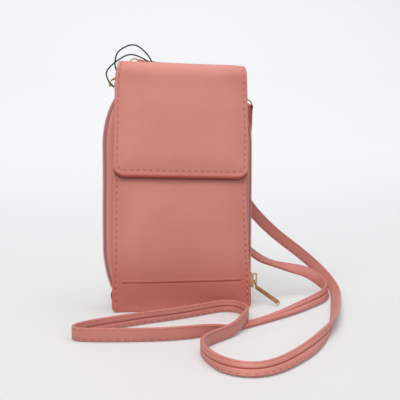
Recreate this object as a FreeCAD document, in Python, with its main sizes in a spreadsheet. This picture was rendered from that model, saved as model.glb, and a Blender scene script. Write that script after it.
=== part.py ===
import FreeCAD, Part
import math
import os

import Sketcher

# Phone pouch: a phone pocket under a fold-over flap, on the front of a zip-around wallet,
# with a long strap clipped to two rings behind the flap.
# Millimetres. X to the right, Y to the back, Z up. The base stands on Z = 0.

os.makedirs("parts", exist_ok=True)
doc = FreeCAD.newDocument("phone_pouch")

SIZES = [
    # wallet: two shallow leather shells, mouth to mouth, with the zip between them
    ("wallet_width", 111.0), ("wallet_height", 166.0), ("shoulder_radius", 28.0),
    ("foot_radius", 15.0), ("shell_depth", 6.4), ("shell_wall", 1.6), ("mouth_gap", 6.8),
    ("wallet_front", 3.8), ("lining", 0.8), ("edge_round", 0.7),
    ("card_width", 88.0), ("card_low", 18.0), ("card_step", 20.0), ("card_layer", 0.8),
    ("card_first", 60.0), ("seam_room", 0.3), ("seam_gap", 0.7),
    # zip
    ("tape", 0.7), ("tape_lap", 2.0), ("row_gap", 1.2), ("zip_end", 9.0),
    ("tooth_depth", 1.4), ("tooth_length", 1.4), ("tooth_pitch", 2.6), ("tooth_height", 3.4),
    ("slider_low", 11.5), ("slider_length", 11.0), ("slider_plate", 1.2), ("slider_room", 0.5),
    ("slider_width", 6.2), ("slider_post", 0.6), ("slider_flange", 0.7), ("flange_drop", 1.5),
    ("bridge_width", 2.2), ("bridge_bar", 0.9), ("bridge_opening", 2.2), ("bridge_length", 8.0),
    ("bridge_foot", 1.2),
    ("link_radius", 3.3), ("link_wire", 0.55), ("pull_length", 25.0), ("pull_tip_width", 3.6),
    ("pull_eye_width", 3.2), ("pull_thickness", 1.3), ("pull_hole", 0.95), ("pull_round", 0.35),
    # phone pocket
    ("pocket_low_width", 103.0), ("pocket_top_width", 97.5), ("pocket_height", 158.0),
    ("pocket_corner", 4.5), ("pocket_leather", 1.4), ("pocket_depth", 10.6), ("gusset", 1.2),
    ("root_leather", 1.4), ("root_top_width", 94.5), ("crease_height", 22.0),
    ("crease_depth", 0.5), ("crease_width", 0.7), ("crease_length", 88.0),
    # flap
    ("overall_height", 185.5), ("flap_low", 99.0), ("flap_top_width", 93.5), ("flap_flare", 5.0),
    ("flap_low_width", "=flap_top_width + flap_flare"),
    ("flap_leather", 1.2), ("flap_board", 0.8), ("flap_gap", 0.4),
    ("flap_corner", 6.0), ("flap_hem", 3.0), ("fold_thickness", 2.2),
    ("magnet_radius", 7.0), ("magnet_height", 112.0), ("magnet_room", 0.2),
    # rings, tabs, clasps and strap ends
    ("ring_half_width", 5.7), ("ring_leg", 3.0), ("ring_wire", 0.9), ("loop_room", 0.3),
    ("tab_layer", 1.2), ("tab_width", 4.6), ("tab_length", 6.6), ("tab_inset", 9.9),
    ("tab_offset", "=wallet_width / 2 - tab_inset"), ("tab_rise", 2.0),
    ("tab_height", "=wallet_height + tab_rise"),
    ("clasp_wire", 0.9), ("clasp_half_width", 4.2), ("clasp_leg", 2.9),
    ("clasp_body", 4.0), ("clasp_thickness", 3.0), ("clasp_waist", 2.6), ("clasp_reach", 15.6),
    ("gate_width", 1.6), ("gate_play", 0.3), ("gate_rise", 1.3), ("gate_foot", 0.6),
    ("gate_knob", 1.2), ("pin_radius", 0.5), ("pin_fit", 0.05), ("swivel_post", 1.0),
    ("swivel_collar", 1.8), ("collar_height", 1.0), ("post_depth", 2.4),
    ("eye_radius", 3.6), ("eye_wire", 0.6),
    ("end_layer", 1.2), ("end_width", 6.6), ("end_length", 24.0), ("end_neck", 7.0),
    ("rivet_place", 19.0), ("rivet_radius", 2.1), ("rivet_head", 0.9), ("rivet_stem", 1.0),
    # strap and hang loop
    ("strap_width", 9.0), ("strap_thickness", 2.4), ("cord_radius", 0.5),
    # cuts run past the piece by this much
    ("overrun", 1.0),
]

sheet = doc.addObject("Spreadsheet::Sheet", "sizes")
for row, (alias, value) in enumerate(SIZES, start=1):
    sheet.set(f"A{row}", alias)
    sheet.set(f"B{row}", str(value))
    sheet.setAlias(f"B{row}", alias)
doc.recompute()

V = FreeCAD.Vector
EPS = 1e-6


def size(alias):
    return float(sheet.get(alias))


def cell(text):
    """Write an expression with bare size names as one on the sheet's cells."""
    names = sorted((alias for alias, _ in SIZES), key=len, reverse=True)
    words, out = set(names), ""
    token = ""
    for ch in text + " ":
        if ch.isalnum() or ch == "_":
            token += ch
            continue
        out += ("sizes." + token) if token in words else token
        token = ""
        out += ch
    return out.strip()


finished = []


def finish(obj, label):
    obj.Label = label
    finished.append(obj)
    return obj


# Sketches and bodies

def origin_plane(body, role):
    return next(f for f in body.Origin.OriginFeatures if f.Role == role)


def sketch_on(body, name, role):
    sketch = body.newObject("Sketcher::SketchObject", name)
    sketch.AttachmentSupport = [(origin_plane(body, role), "")]
    sketch.MapMode = "FlatFace"
    return sketch


def bind(sketch, name, constraint, expression):
    index = sketch.addConstraint(constraint)
    sketch.renameConstraint(index, name)
    sketch.setExpression(f"Constraints.{name}", cell(expression))


def upright_outline(sketch, low_width, top_width, height, low=None):
    """A symmetric outline, wider or narrower at the top, standing on the sketch's X axis."""
    half, tall, lift = size("card_width") / 2, size("card_width"), size("flap_hem")
    seed = [V(-half, 0, 0), V(half, 0, 0), V(half, tall, 0), V(-half, tall, 0)]
    if low is not None:
        seed = [p + V(0, lift, 0) for p in seed]
    for i in range(4):
        sketch.addGeometry(Part.LineSegment(seed[i], seed[(i + 1) % 4]), False)
    for i in range(4):
        sketch.addConstraint(Sketcher.Constraint("Coincident", i, 2, (i + 1) % 4, 1))
    sketch.addConstraint(Sketcher.Constraint("Symmetric", 0, 1, 0, 2, -2))
    sketch.addConstraint(Sketcher.Constraint("Symmetric", 2, 1, 2, 2, -2))
    if low is None:
        sketch.addConstraint(Sketcher.Constraint("PointOnObject", 0, 1, -1))
    else:
        bind(sketch, "low", Sketcher.Constraint("DistanceY", -1, 1, 0, 1, lift), low)
    bind(sketch, "low_width", Sketcher.Constraint("DistanceX", 0, 1, 0, 2, 2 * half), low_width)
    bind(sketch, "top_width", Sketcher.Constraint("DistanceX", 2, 2, 2, 1, 2 * half), top_width)
    bind(sketch, "height", Sketcher.Constraint("DistanceY", 0, 1, 2, 1, tall), height)


def across_edges(feature, top):
    """Names of the straight edges along Y at the top or the bottom corners of a panel."""
    shape = feature.Shape
    box = shape.BoundBox
    names = []
    for i, edge in enumerate(shape.Edges, start=1):
        if not isinstance(edge.Curve, Part.Line):
            continue
        a, b = edge.Vertexes[0].Point, edge.Vertexes[-1].Point
        if abs(a.x - b.x) > EPS or abs(a.z - b.z) > EPS:
            continue
        if (a.z > box.Center.z) != top:
            continue
        names.append(f"Edge{i}")
    return names


def round_corners(body, base, name, edges, radius):
    fillet = body.newObject("PartDesign::Fillet", name)
    fillet.Base = (base, edges)
    fillet.setExpression("Radius", cell(radius))
    doc.recompute()
    return fillet


def place(body, x=None, y=None, z=None, turn=0.0):
    body.Placement = FreeCAD.Placement(V(0, 0, 0), FreeCAD.Rotation(V(0, 0, 1), turn))
    for axis, text in (("x", x), ("y", y), ("z", z)):
        if text is not None:
            body.setExpression(f"Placement.Base.{axis}", cell(text))


def panel(name, low_width, top_width, height, thickness, y, z=None,
          low_round=None, top_round=None, turn=0.0):
    """A flat sheet standing upright: its back face at y, its front one thickness nearer."""
    body = doc.addObject("PartDesign::Body", name)
    outline = sketch_on(body, name + "_outline", "XZ_Plane")
    upright_outline(outline, low_width, top_width, height)
    pad = body.newObject("PartDesign::Pad", name + "_pad")
    pad.Profile = outline
    pad.setExpression("Length", cell(thickness))
    doc.recompute()
    last = pad
    if low_round:
        last = round_corners(body, last, name + "_feet", across_edges(last, False), low_round)
    if top_round:
        last = round_corners(body, last, name + "_shoulders", across_edges(last, True), top_round)
    place(body, None, y, z, turn)
    return body, last


def cut_outline(body, name, low_width, top_width, height, low, depth, low_round=None,
                top_round=None):
    """Cut a second upright outline from the body's back face, depth deep."""
    before = body.Tip.Shape.Volume
    base_edges = {(round(v.Point.x, 3), round(v.Point.z, 3)) for v in body.Tip.Shape.Vertexes}
    sketch = sketch_on(body, name + "_outline", "XZ_Plane")
    upright_outline(sketch, low_width, top_width, height, low)
    cut = body.newObject("PartDesign::Pocket", name)
    cut.Profile = sketch
    cut.Reversed = True
    if depth is None:
        cut.Type = "ThroughAll"
        cut.Midplane = True
    else:
        cut.setExpression("Length", cell(depth))
    doc.recompute()
    if cut.Shape.Volume > before - EPS:
        raise RuntimeError(name + " cuts nothing")
    last = cut
    for top, radius in ((False, low_round), (True, top_round)):
        if radius:
            fresh = []
            for edge_name in across_edges(last, top):
                edge = last.Shape.Edges[int(edge_name[4:]) - 1]
                point = edge.Vertexes[0].Point
                if (round(point.x, 3), round(point.z, 3)) not in base_edges:
                    fresh.append(edge_name)
            last = round_corners(body, last, f"{name}_{'top' if top else 'low'}", fresh, radius)
    return last


# Wallet shells: each a shallow tray with a wall all round

def block(name, x, y, z, length, width, height):
    box = doc.addObject("Part::Box", name)
    for prop, text in (("Length", length), ("Width", width), ("Height", height),
                       ("Placement.Base.x", x), ("Placement.Base.y", y), ("Placement.Base.z", z)):
        box.setExpression(prop, cell(text))
    return box


def less(name, whole, taken):
    """The first piece with the second cut away."""
    cut = doc.addObject("Part::Cut", name)
    cut.Base, cut.Tool = whole, taken
    doc.recompute()
    if cut.Shape.Volume > whole.Shape.Volume - EPS:
        raise RuntimeError(name + " cuts nothing")
    return cut


def wallet_outline(name, inset, thickness, y, turn=0.0):
    """A slab with the wallet's rounded outline, inset all round."""
    width, height = f"wallet_width - 2 * ({inset})", f"wallet_height - 2 * ({inset})"
    body, _ = panel(name, width, width, height, thickness, y, inset, f"foot_radius - ({inset})",
                    f"shoulder_radius - ({inset})", turn)
    return body


mouth_front = "shell_depth - wallet_front"
mouth_back = mouth_front + " + mouth_gap"
outer_back = mouth_back + " + shell_depth"
front_slab = wallet_outline("front_shell_slab", "0 * overrun", "shell_depth", mouth_front)
front_room = wallet_outline("front_shell_room", "shell_wall", "shell_depth - shell_wall + overrun",
                            mouth_front + " + overrun")
finish(less("front_shell_tray", front_slab, front_room), "front_shell")
back_slab = wallet_outline("back_shell_slab", "0 * overrun", "shell_depth", outer_back)
back_room = wallet_outline("back_shell_room", "shell_wall", "shell_depth - shell_wall + overrun",
                           outer_back + " - shell_wall")
back_tray = less("back_shell_tray", back_slab, back_room)
rim = []
back_face = back_tray.Shape.BoundBox.YMax
for i, edge in enumerate(back_tray.Shape.Edges, start=1):
    box = edge.BoundBox
    if box.YLength < EPS and abs(box.YMax - back_face) < EPS:
        rim.append((i, size("edge_round"), size("edge_round")))
back_smooth = doc.addObject("Part::Fillet", "back_shell_smooth")
back_smooth.Base = back_tray
back_smooth.Edges = rim
finish(back_smooth, "back_shell")

finish(wallet_outline("front_lining", "shell_wall + seam_room", "lining",
                      "shell_wall + lining - wallet_front"), "front_lining")
finish(wallet_outline("back_lining", "shell_wall + seam_room", "lining",
                      outer_back + " - shell_wall"), "back_lining")

# Card slots: three stepped leaves on the front lining
card_back = "shell_wall + lining - wallet_front"
leaves = []
for step in range(3):
    leaf = doc.addObject("Part::Box", f"card_leaf_{step + 1}")
    leaf.setExpression("Length", cell("card_width"))
    leaf.setExpression("Width", cell("card_layer"))
    leaf.setExpression("Height", cell(f"card_first + {2 - step} * card_step"))
    leaf.setExpression("Placement.Base.x", cell("-card_width / 2"))
    leaf.setExpression("Placement.Base.y", cell(f"{card_back} + {step} * card_layer"))
    leaf.setExpression("Placement.Base.z", cell("card_low"))
    leaves.append(leaf)
cards = doc.addObject("Part::MultiFuse", "card_slots_stack")
cards.Shapes = leaves
finish(cards, "card_slots")

# Bottom strip: joins the shells below the ends of the zip
strip_slab = wallet_outline("base_strip_slab", "0 * overrun", "mouth_gap", mouth_back)
strip_room = wallet_outline("base_strip_room", "shell_wall", "mouth_gap + 2 * overrun",
                            mouth_back + " + overrun")
strip_ring = less("base_strip_ring", strip_slab, strip_room)
above = block("base_strip_above", "-wallet_width", "-wallet_width", "zip_end", "2 * wallet_width",
              "2 * wallet_width", "wallet_height")
finish(less("base_strip_foot", strip_ring, above), "base_strip")

# Zip tapes: a strip sewn inside each wall, from one end of the zip to the other
tape_reach = "tape_lap + (mouth_gap - row_gap) / 2"
for name, y in (("zip_tape_front", "shell_depth - wallet_front + (mouth_gap - row_gap) / 2"),
                ("zip_tape_back", "shell_depth - wallet_front + mouth_gap + tape_lap")):
    slab = wallet_outline(name + "_slab", "shell_wall", tape_reach, y)
    room = wallet_outline(name + "_room", "shell_wall + tape", f"{tape_reach} + 2 * overrun",
                          f"{y} + overrun")
    hoop = less(name + "_hoop", slab, room)
    below = block(name + "_below", "-wallet_width", "-wallet_width", "-wallet_height",
                  "2 * wallet_width", "2 * wallet_width", "wallet_height + zip_end + seam_room")
    finish(less(name + "_open", hoop, below), name)

# Zip teeth: one row on the outside of each tape, staggered by half a pitch

def zip_path(offset):
    """The zip's outline as straight and round stretches, going up the left side."""
    half = size("wallet_width") / 2 - size("shell_wall") + offset
    top = size("wallet_height") - size("shell_wall") + offset
    bend = size("shoulder_radius") - size("shell_wall") + offset
    low = size("foot_radius")
    side = top - bend - low
    return [("line", V(-half, 0, low), V(0, 0, 1), side),
            ("arc", V(-half + bend, 0, top - bend), math.pi, bend),
            ("line", V(-half + bend, 0, top), V(1, 0, 0), 2 * (half - bend)),
            ("arc", V(half - bend, 0, top - bend), math.pi / 2, bend),
            ("line", V(half, 0, top - bend), V(0, 0, -1), side)]


def zip_station(distance):
    """Point on the tape's outer face and the direction outwards from it."""
    for kind, point, way, length in zip_path(0.0):
        span = length if kind == "line" else length * math.pi / 2
        if distance <= span:
            if kind == "line":
                return point + way * distance, V(-way.z, 0, way.x)
            angle = way - distance / length
            out = V(math.cos(angle), 0, math.sin(angle))
            return point + out * length, out
        distance -= span
    return None, None


zip_length = sum(span if kind == "line" else span * math.pi / 2
                 for kind, _, _, span in zip_path(0.0))
zip_middle = size("shell_depth") - size("wallet_front") + size("mouth_gap") / 2
for name, low_y, stagger_share in (
        ("zip_teeth_front", zip_middle - size("row_gap") / 2 - size("tooth_depth"), 0.25),
        ("zip_teeth_back", zip_middle + size("row_gap") / 2, 0.75)):
    teeth = []
    for i in range(int(zip_length / size("tooth_pitch"))):
        point, out = zip_station((i + stagger_share) * size("tooth_pitch"))
        along = V(out.z, 0, -out.x)
        corner = point - along * (size("tooth_length") / 2) + V(0, low_y, 0)
        face = Part.Face(Part.makePolygon([
            corner, corner + along * size("tooth_length"),
            corner + along * size("tooth_length") + V(0, size("tooth_depth"), 0),
            corner + V(0, size("tooth_depth"), 0), corner]))
        teeth.append(face.extrude(out * size("tooth_height")))
    row = doc.addObject("Part::Feature", name)
    row.Shape = Part.makeCompound(teeth)
    finish(row, name)

# Zip slider: two plates on a post between the rows, with a bridge for the pull
tape_face = "(wallet_width / 2 - shell_wall)"
plate_in = f"({tape_face} - tape - slider_room - slider_plate)"
plate_out = f"({tape_face} + tooth_height + slider_room)"
zip_mid = "(shell_depth - wallet_front + mouth_gap / 2)"


bridge_x = f"{plate_out} + slider_plate"
bridge_z = "(slider_low + slider_length - bridge_length)"
pieces = [
    block("slider_outer", plate_out, f"{zip_mid} - slider_width / 2", "slider_low",
          "slider_plate", "slider_width", "slider_length"),
    block("slider_inner", plate_in, f"{zip_mid} - slider_width / 2", "slider_low",
          "slider_plate", "slider_width", "slider_length"),
    block("slider_divider", plate_in, f"{zip_mid} - slider_post / 2", "slider_low",
          f"{plate_out} - {plate_in} + slider_plate", "slider_post", "slider_length"),
    block("slider_lip_front", f"{plate_out} - flange_drop", f"{zip_mid} - slider_width / 2",
          "slider_low", "flange_drop", "slider_flange", "slider_length"),
    block("slider_lip_back", f"{plate_out} - flange_drop",
          f"{zip_mid} + slider_width / 2 - slider_flange", "slider_low", "flange_drop",
          "slider_flange", "slider_length"),
    block("bridge_low", bridge_x, f"{zip_mid} - bridge_width / 2", bridge_z,
          "bridge_opening + bridge_bar", "bridge_width", "bridge_foot"),
    block("bridge_high", bridge_x, f"{zip_mid} - bridge_width / 2",
          f"{bridge_z} + bridge_length - bridge_foot", "bridge_opening + bridge_bar",
          "bridge_width", "bridge_foot"),
    block("bridge_span", f"{bridge_x} + bridge_opening", f"{zip_mid} - bridge_width / 2", bridge_z,
          "bridge_bar", "bridge_width", "bridge_length"),
]
slider = doc.addObject("Part::MultiFuse", "zip_slider_block")
slider.Shapes = pieces
slider.Refine = True
doc.recompute()
rounds = []
outer_x = slider.Shape.BoundBox.XMax
plate_top = slider.Shape.BoundBox.ZMax
plate_x = outer_x - size("bridge_opening") - size("bridge_bar")
for i, edge in enumerate(slider.Shape.Edges, start=1):
    box = edge.BoundBox
    on_span = box.XLength < EPS and abs(box.XMax - outer_x) < EPS
    on_plate = (box.XLength > EPS and abs(box.XMax - plate_x) < EPS and box.ZLength < EPS
                and box.YLength < EPS and abs(box.Center.y - zip_middle) > size("bridge_width"))
    if on_span or on_plate:
        rounds.append((i, size("pull_round"), size("pull_round")))
smooth = doc.addObject("Part::Fillet", "zip_slider_smooth")
smooth.Base = slider
smooth.Edges = rounds
finish(smooth, "zip_slider")

# Pull: a wire link round the bridge and a bar on the link, turned towards the front
doc.recompute()
LINK_DIP, LINK_HELD = math.radians(72), math.radians(40)
PULL_TURN, PULL_DIP = math.radians(-54), math.radians(20)
span_middle = V(plate_x + size("bridge_opening") / 2, zip_middle,
                size("slider_low") + size("slider_length") - size("bridge_length")
                + size("bridge_foot") + size("link_wire") + size("slider_room"))
link_way = V(math.cos(LINK_DIP), 0, -math.sin(LINK_DIP))
link_middle = span_middle + link_way * size("link_radius")
swing = V(math.cos(PULL_TURN), math.sin(PULL_TURN), 0)
pull_way = swing * math.cos(PULL_DIP) - V(0, 0, math.sin(PULL_DIP))
link_tangent = link_way * math.sin(LINK_HELD) + V(0, math.cos(LINK_HELD), 0)
pull_axis = (link_tangent - pull_way * link_tangent.dot(pull_way)).normalize()


def framed(origin, x_axis, z_axis):
    """Placement that turns local X and Z to these directions."""
    z_unit = V(z_axis).normalize()
    x_unit = (V(x_axis) - z_unit * V(x_axis).dot(z_unit)).normalize()
    y_unit = z_unit.cross(x_unit)
    return FreeCAD.Placement(FreeCAD.Matrix(x_unit.x, y_unit.x, z_unit.x, origin.x,
                                            x_unit.y, y_unit.y, z_unit.y, origin.y,
                                            x_unit.z, y_unit.z, z_unit.z, origin.z, 0, 0, 0, 1))


def torus_between(name, ring, wire, placement):
    torus = doc.addObject("Part::Torus", name)
    torus.setExpression("Radius1", cell(ring))
    torus.setExpression("Radius2", cell(wire))
    torus.Placement = placement
    return torus


link = torus_between("pull_link_ring", "link_radius", "link_wire",
                     framed(link_middle, link_way, link_way.cross(V(0, 1, 0))))
finish(link, "pull_link")

link_far = (link_middle + link_way * (size("link_radius") * math.cos(LINK_HELD))
            - V(0, size("link_radius") * math.sin(LINK_HELD), 0))
half_eye, half_tip = size("pull_eye_width") / 2, size("pull_tip_width") / 2
length = size("pull_length")
half_thick = size("pull_thickness") / 2
outline = Part.Wire([
    Part.Arc(V(0, half_eye, 0), V(-half_eye, 0, 0), V(0, -half_eye, 0)).toShape(),
    Part.LineSegment(V(0, -half_eye, 0), V(length - half_tip, -half_tip, 0)).toShape(),
    Part.Arc(V(length - half_tip, -half_tip, 0), V(length, 0, 0),
             V(length - half_tip, half_tip, 0)).toShape(),
    Part.LineSegment(V(length - half_tip, half_tip, 0), V(0, half_eye, 0)).toShape()])
bar = Part.Face(outline).extrude(V(0, 0, size("pull_thickness")))
bar.translate(V(0, 0, -half_thick))
bar = bar.makeFillet(size("pull_round"), [e for e in bar.Edges if e.BoundBox.ZLength < EPS])
bar = bar.cut(Part.makeCylinder(size("pull_hole"), size("pull_thickness") + 2 * size("overrun"),
                                V(0, 0, -half_thick - size("overrun")), V(0, 0, 1)))
pull = doc.addObject("Part::Feature", "pull_bar")
pull.Shape = bar
pull.Placement = framed(link_far, pull_way, pull_axis)
finish(pull, "pull_tab")

# Phone pocket: leather front, lining, gusset strip round three sides, back panel
root_face = "(wallet_front + root_leather + lining)"
cavity_front = f"({root_face} + pocket_depth)"
fold_radius = "((root_leather + lining + pocket_depth + lining + pocket_leather + flap_gap" \
              " + lining + flap_board + flap_leather) / 2)"
fold_height = f"(overall_height - {fold_radius})"

body, last = panel("pocket_back", "pocket_low_width", "root_top_width", fold_height, "root_leather",
                   "-wallet_front", None, "pocket_corner")
finish(body, "pocket_back")
lining_low = "pocket_low_width - 2 * gusset - 2 * seam_room"
lining_top = "pocket_top_width - 2 * gusset - 2 * seam_room"
body, last = panel("pocket_back_lining", lining_low, lining_top,
                   "pocket_height - gusset - seam_room", "lining", "-wallet_front - root_leather",
                   "gusset + seam_room", "pocket_corner - gusset")
finish(body, "pocket_back_lining")

gusset_depth = "lining + pocket_depth + lining"
gusset_slab, _ = panel("pocket_gusset_slab", "pocket_low_width", "pocket_top_width",
                       "pocket_height", gusset_depth, "-wallet_front - root_leather", None,
                       "pocket_corner")
gusset_room, _ = panel("pocket_gusset_room", "pocket_low_width - 2 * gusset",
                       "pocket_top_width - 2 * gusset", "pocket_height",
                       f"{gusset_depth} + 2 * overrun", "-wallet_front - root_leather + overrun",
                       "gusset", "pocket_corner - gusset")
finish(less("pocket_gusset_strip", gusset_slab, gusset_room), "pocket_gusset")

body, last = panel("pocket_front_lining", lining_low, lining_top,
                   "pocket_height - gusset - seam_room", "lining", f"-{cavity_front}",
                   "gusset + seam_room", "pocket_corner - gusset")
disc_place = "magnet_height - gusset - seam_room"


def disc_hole(body, name, radius, height):
    """Cut a round hole through a panel on its centre line."""
    before = body.Tip.Shape.Volume
    sketch = sketch_on(body, name + "_circle", "XZ_Plane")
    rough = size("magnet_height")
    sketch.addGeometry(Part.Circle(V(0, rough, 0), V(0, 0, 1), size("magnet_radius")), False)
    sketch.addConstraint(Sketcher.Constraint("PointOnObject", 0, 3, -2))
    bind(sketch, "height", Sketcher.Constraint("DistanceY", -1, 1, 0, 3, rough), height)
    bind(sketch, "radius", Sketcher.Constraint("Radius", 0, size("magnet_radius")), radius)
    cut = body.newObject("PartDesign::Pocket", name)
    cut.Profile = sketch
    cut.Type = "ThroughAll"
    cut.Midplane = True
    doc.recompute()
    if cut.Shape.Volume > before - EPS:
        raise RuntimeError(name + " cuts nothing")


disc_hole(body, "pocket_disc_hole", "magnet_radius + magnet_room", disc_place)
finish(body, "pocket_front_lining")

body, last = panel("pocket_front", "pocket_low_width", "pocket_top_width", "pocket_height",
                   "pocket_leather", f"-{cavity_front} - lining", None, "pocket_corner")
rim = []
for i, edge in enumerate(last.Shape.Edges, start=1):
    box = edge.BoundBox
    if box.YLength < EPS and abs(box.YMin + size("pocket_leather")) < EPS:
        rim.append(f"Edge{i}")
last = round_corners(body, last, "pocket_front_rim", rim, "edge_round")
crease = sketch_on(body, "pocket_crease_outline", "XZ_Plane")
crease.setExpression("AttachmentOffset.Base.z", cell("pocket_leather - crease_depth"))
upright_outline(crease, "crease_length", "crease_length", "crease_width", "crease_height")
groove = body.newObject("PartDesign::Pocket", "pocket_crease")
groove.Profile = crease
groove.Reversed = True
groove.setExpression("Length", cell("crease_depth + overrun"))
before = last.Shape.Volume
doc.recompute()
if groove.Shape.Volume > before - EPS:
    raise RuntimeError("the crease cuts nothing")
finish(body, "pocket_front")


def disc(name, radius, thickness, y, z):
    """A flat disc lying against a panel, its back face at y."""
    cylinder = doc.addObject("Part::Cylinder", name)
    cylinder.setExpression("Radius", cell(radius))
    cylinder.setExpression("Height", cell(thickness))
    cylinder.Placement = FreeCAD.Placement(V(0, 0, 0), FreeCAD.Rotation(V(1, 0, 0), 90))
    cylinder.setExpression("Placement.Base.y", cell(y))
    cylinder.setExpression("Placement.Base.z", cell(z))
    return cylinder


finish(disc("steel_disc_plate", "magnet_radius", "lining", f"-{cavity_front}", "magnet_height"),
       "steel_disc")

# Flap: leather, board and lining hang from a soft fold over the pocket's mouth
flap_back = f"(-{cavity_front} - lining - pocket_leather - flap_gap)"
flap_height = f"{fold_height} - flap_low"
hem_low = "flap_low_width - 2 * flap_hem"
hem_top = "flap_top_width - 2 * flap_hem"
body, last = panel("flap_lining", hem_low, hem_top, f"{flap_height} - flap_hem", "lining",
                   flap_back, "flap_low + flap_hem", "flap_corner - flap_hem")
finish(body, "flap_lining")
body, last = panel("flap_board", hem_low, hem_top, f"{flap_height} - flap_hem", "flap_board",
                   f"{flap_back} - lining", "flap_low + flap_hem", "flap_corner - flap_hem")
disc_hole(body, "flap_magnet_hole", "magnet_radius + magnet_room",
          "magnet_height - flap_low - flap_hem")
finish(body, "flap_board")
finish(disc("flap_magnet_disc", "magnet_radius", "flap_board", f"{flap_back} - lining",
            "magnet_height"), "flap_magnet")

body, last = panel("flap_leather", "flap_low_width", "flap_top_width", flap_height,
                   "lining + flap_board + flap_leather", flap_back, "flap_low", "flap_corner")
last = cut_outline(body, "flap_turned_edge", hem_low, hem_top, f"{flap_height} - flap_hem",
                   "flap_hem", "lining + flap_board", "flap_corner - flap_hem")
rim = []
depth = size("lining") + size("flap_board") + size("flap_leather")
top_z = last.Shape.BoundBox.ZMax
for i, edge in enumerate(last.Shape.Edges, start=1):
    box = edge.BoundBox
    on_front = box.YLength < EPS and abs(box.YMin + depth) < EPS
    if on_front and not (box.ZLength < EPS and abs(box.ZMin - top_z) < EPS):
        rim.append(f"Edge{i}")
round_corners(body, last, "flap_rim", rim, "edge_round")
finish(body, "flap_leather")

# The soft fold: a half tube from the back panel over to the flap
fold_body = doc.addObject("PartDesign::Body", "flap_fold")
profile = sketch_on(fold_body, "flap_fold_profile", "YZ_Plane")
rough = size("pocket_depth")
rough_in = rough - size("fold_thickness")
for radius in (rough, rough_in):
    circle = Part.Circle(V(0, 0, 0), V(0, 0, 1), radius)
    profile.addGeometry(Part.ArcOfCircle(circle, 0, math.pi), False)
profile.addGeometry(Part.LineSegment(V(rough, 0, 0), V(rough_in, 0, 0)), False)
profile.addGeometry(Part.LineSegment(V(-rough, 0, 0), V(-rough_in, 0, 0)), False)
for pair in ((0, 1, 2, 1), (1, 1, 2, 2), (0, 2, 3, 1), (1, 2, 3, 2)):
    profile.addConstraint(Sketcher.Constraint("Coincident", *pair))
profile.addConstraint(Sketcher.Constraint("Coincident", 0, 3, -1, 1))
profile.addConstraint(Sketcher.Constraint("Coincident", 1, 3, -1, 1))
profile.addConstraint(Sketcher.Constraint("PointOnObject", 2, 1, -1))
profile.addConstraint(Sketcher.Constraint("PointOnObject", 3, 1, -1))
profile.addConstraint(Sketcher.Constraint("PointOnObject", 2, 2, -1))
profile.addConstraint(Sketcher.Constraint("PointOnObject", 3, 2, -1))
bind(profile, "outer", Sketcher.Constraint("Radius", 0, rough), fold_radius)
bind(profile, "inner", Sketcher.Constraint("Radius", 1, rough_in),
     f"{fold_radius} - fold_thickness")
fold_pad = fold_body.newObject("PartDesign::Pad", "flap_fold_pad")
fold_pad.Profile = profile
fold_pad.Midplane = True
fold_pad.setExpression("Length", cell("flap_top_width"))
place(fold_body, None, f"-wallet_front - {fold_radius}", fold_height)
doc.recompute()
finish(fold_body, "flap_fold")

# Looped ends: a strip turned round a wire and pressed flat, used for tabs and strap ends

def looped_end(layer, wire, width, length, neck, lean):
    """Loop round local Y with the strip leaving along -Z; lean shifts the flat part along X."""
    inner = wire + size("loop_room")
    outer = inner + layer
    edge = -width / 2
    flat = [V(lean - layer, edge, -length), V(lean + layer, edge, -length),
            V(lean + layer, edge, -neck), V(outer, edge, 0), V(-outer, edge, 0),
            V(lean - layer, edge, -neck)]
    strip = Part.Face(Part.makePolygon(flat + flat[:1])).extrude(V(0, width, 0))
    loop = Part.makeCylinder(outer, width, V(0, edge, 0), V(0, 1, 0))
    return strip.fuse(loop).removeSplitter()


tab_lean = -(size("ring_wire") + size("loop_room"))
tab_y = (-size("wallet_front") + size("ring_wire") + size("loop_room") + size("tab_layer"))
sides = {"left": -1, "right": 1}
RING_TILT = {"left": math.radians(50), "right": math.radians(90)}
HOOK_ALONG = {"left": math.radians(45), "right": math.radians(20)}
EYE_WAY = {"left": V(0.58, 0.20, 0.79), "right": V(0.51, 0.387, -0.769)}
EYE_ACROSS = {"left": V(-0.67, 0, 0.74), "right": V(0.45, -0.89, 0.0)}
EYE_HELD = {"left": V(0.97, 0.19, -0.146), "right": V(0.25, 0.35, -0.9)}
END_WAY = {"left": V(0.96, 0.25, -0.13), "right": V(0.0, 0.13, -0.99)}
facts = {}

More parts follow.
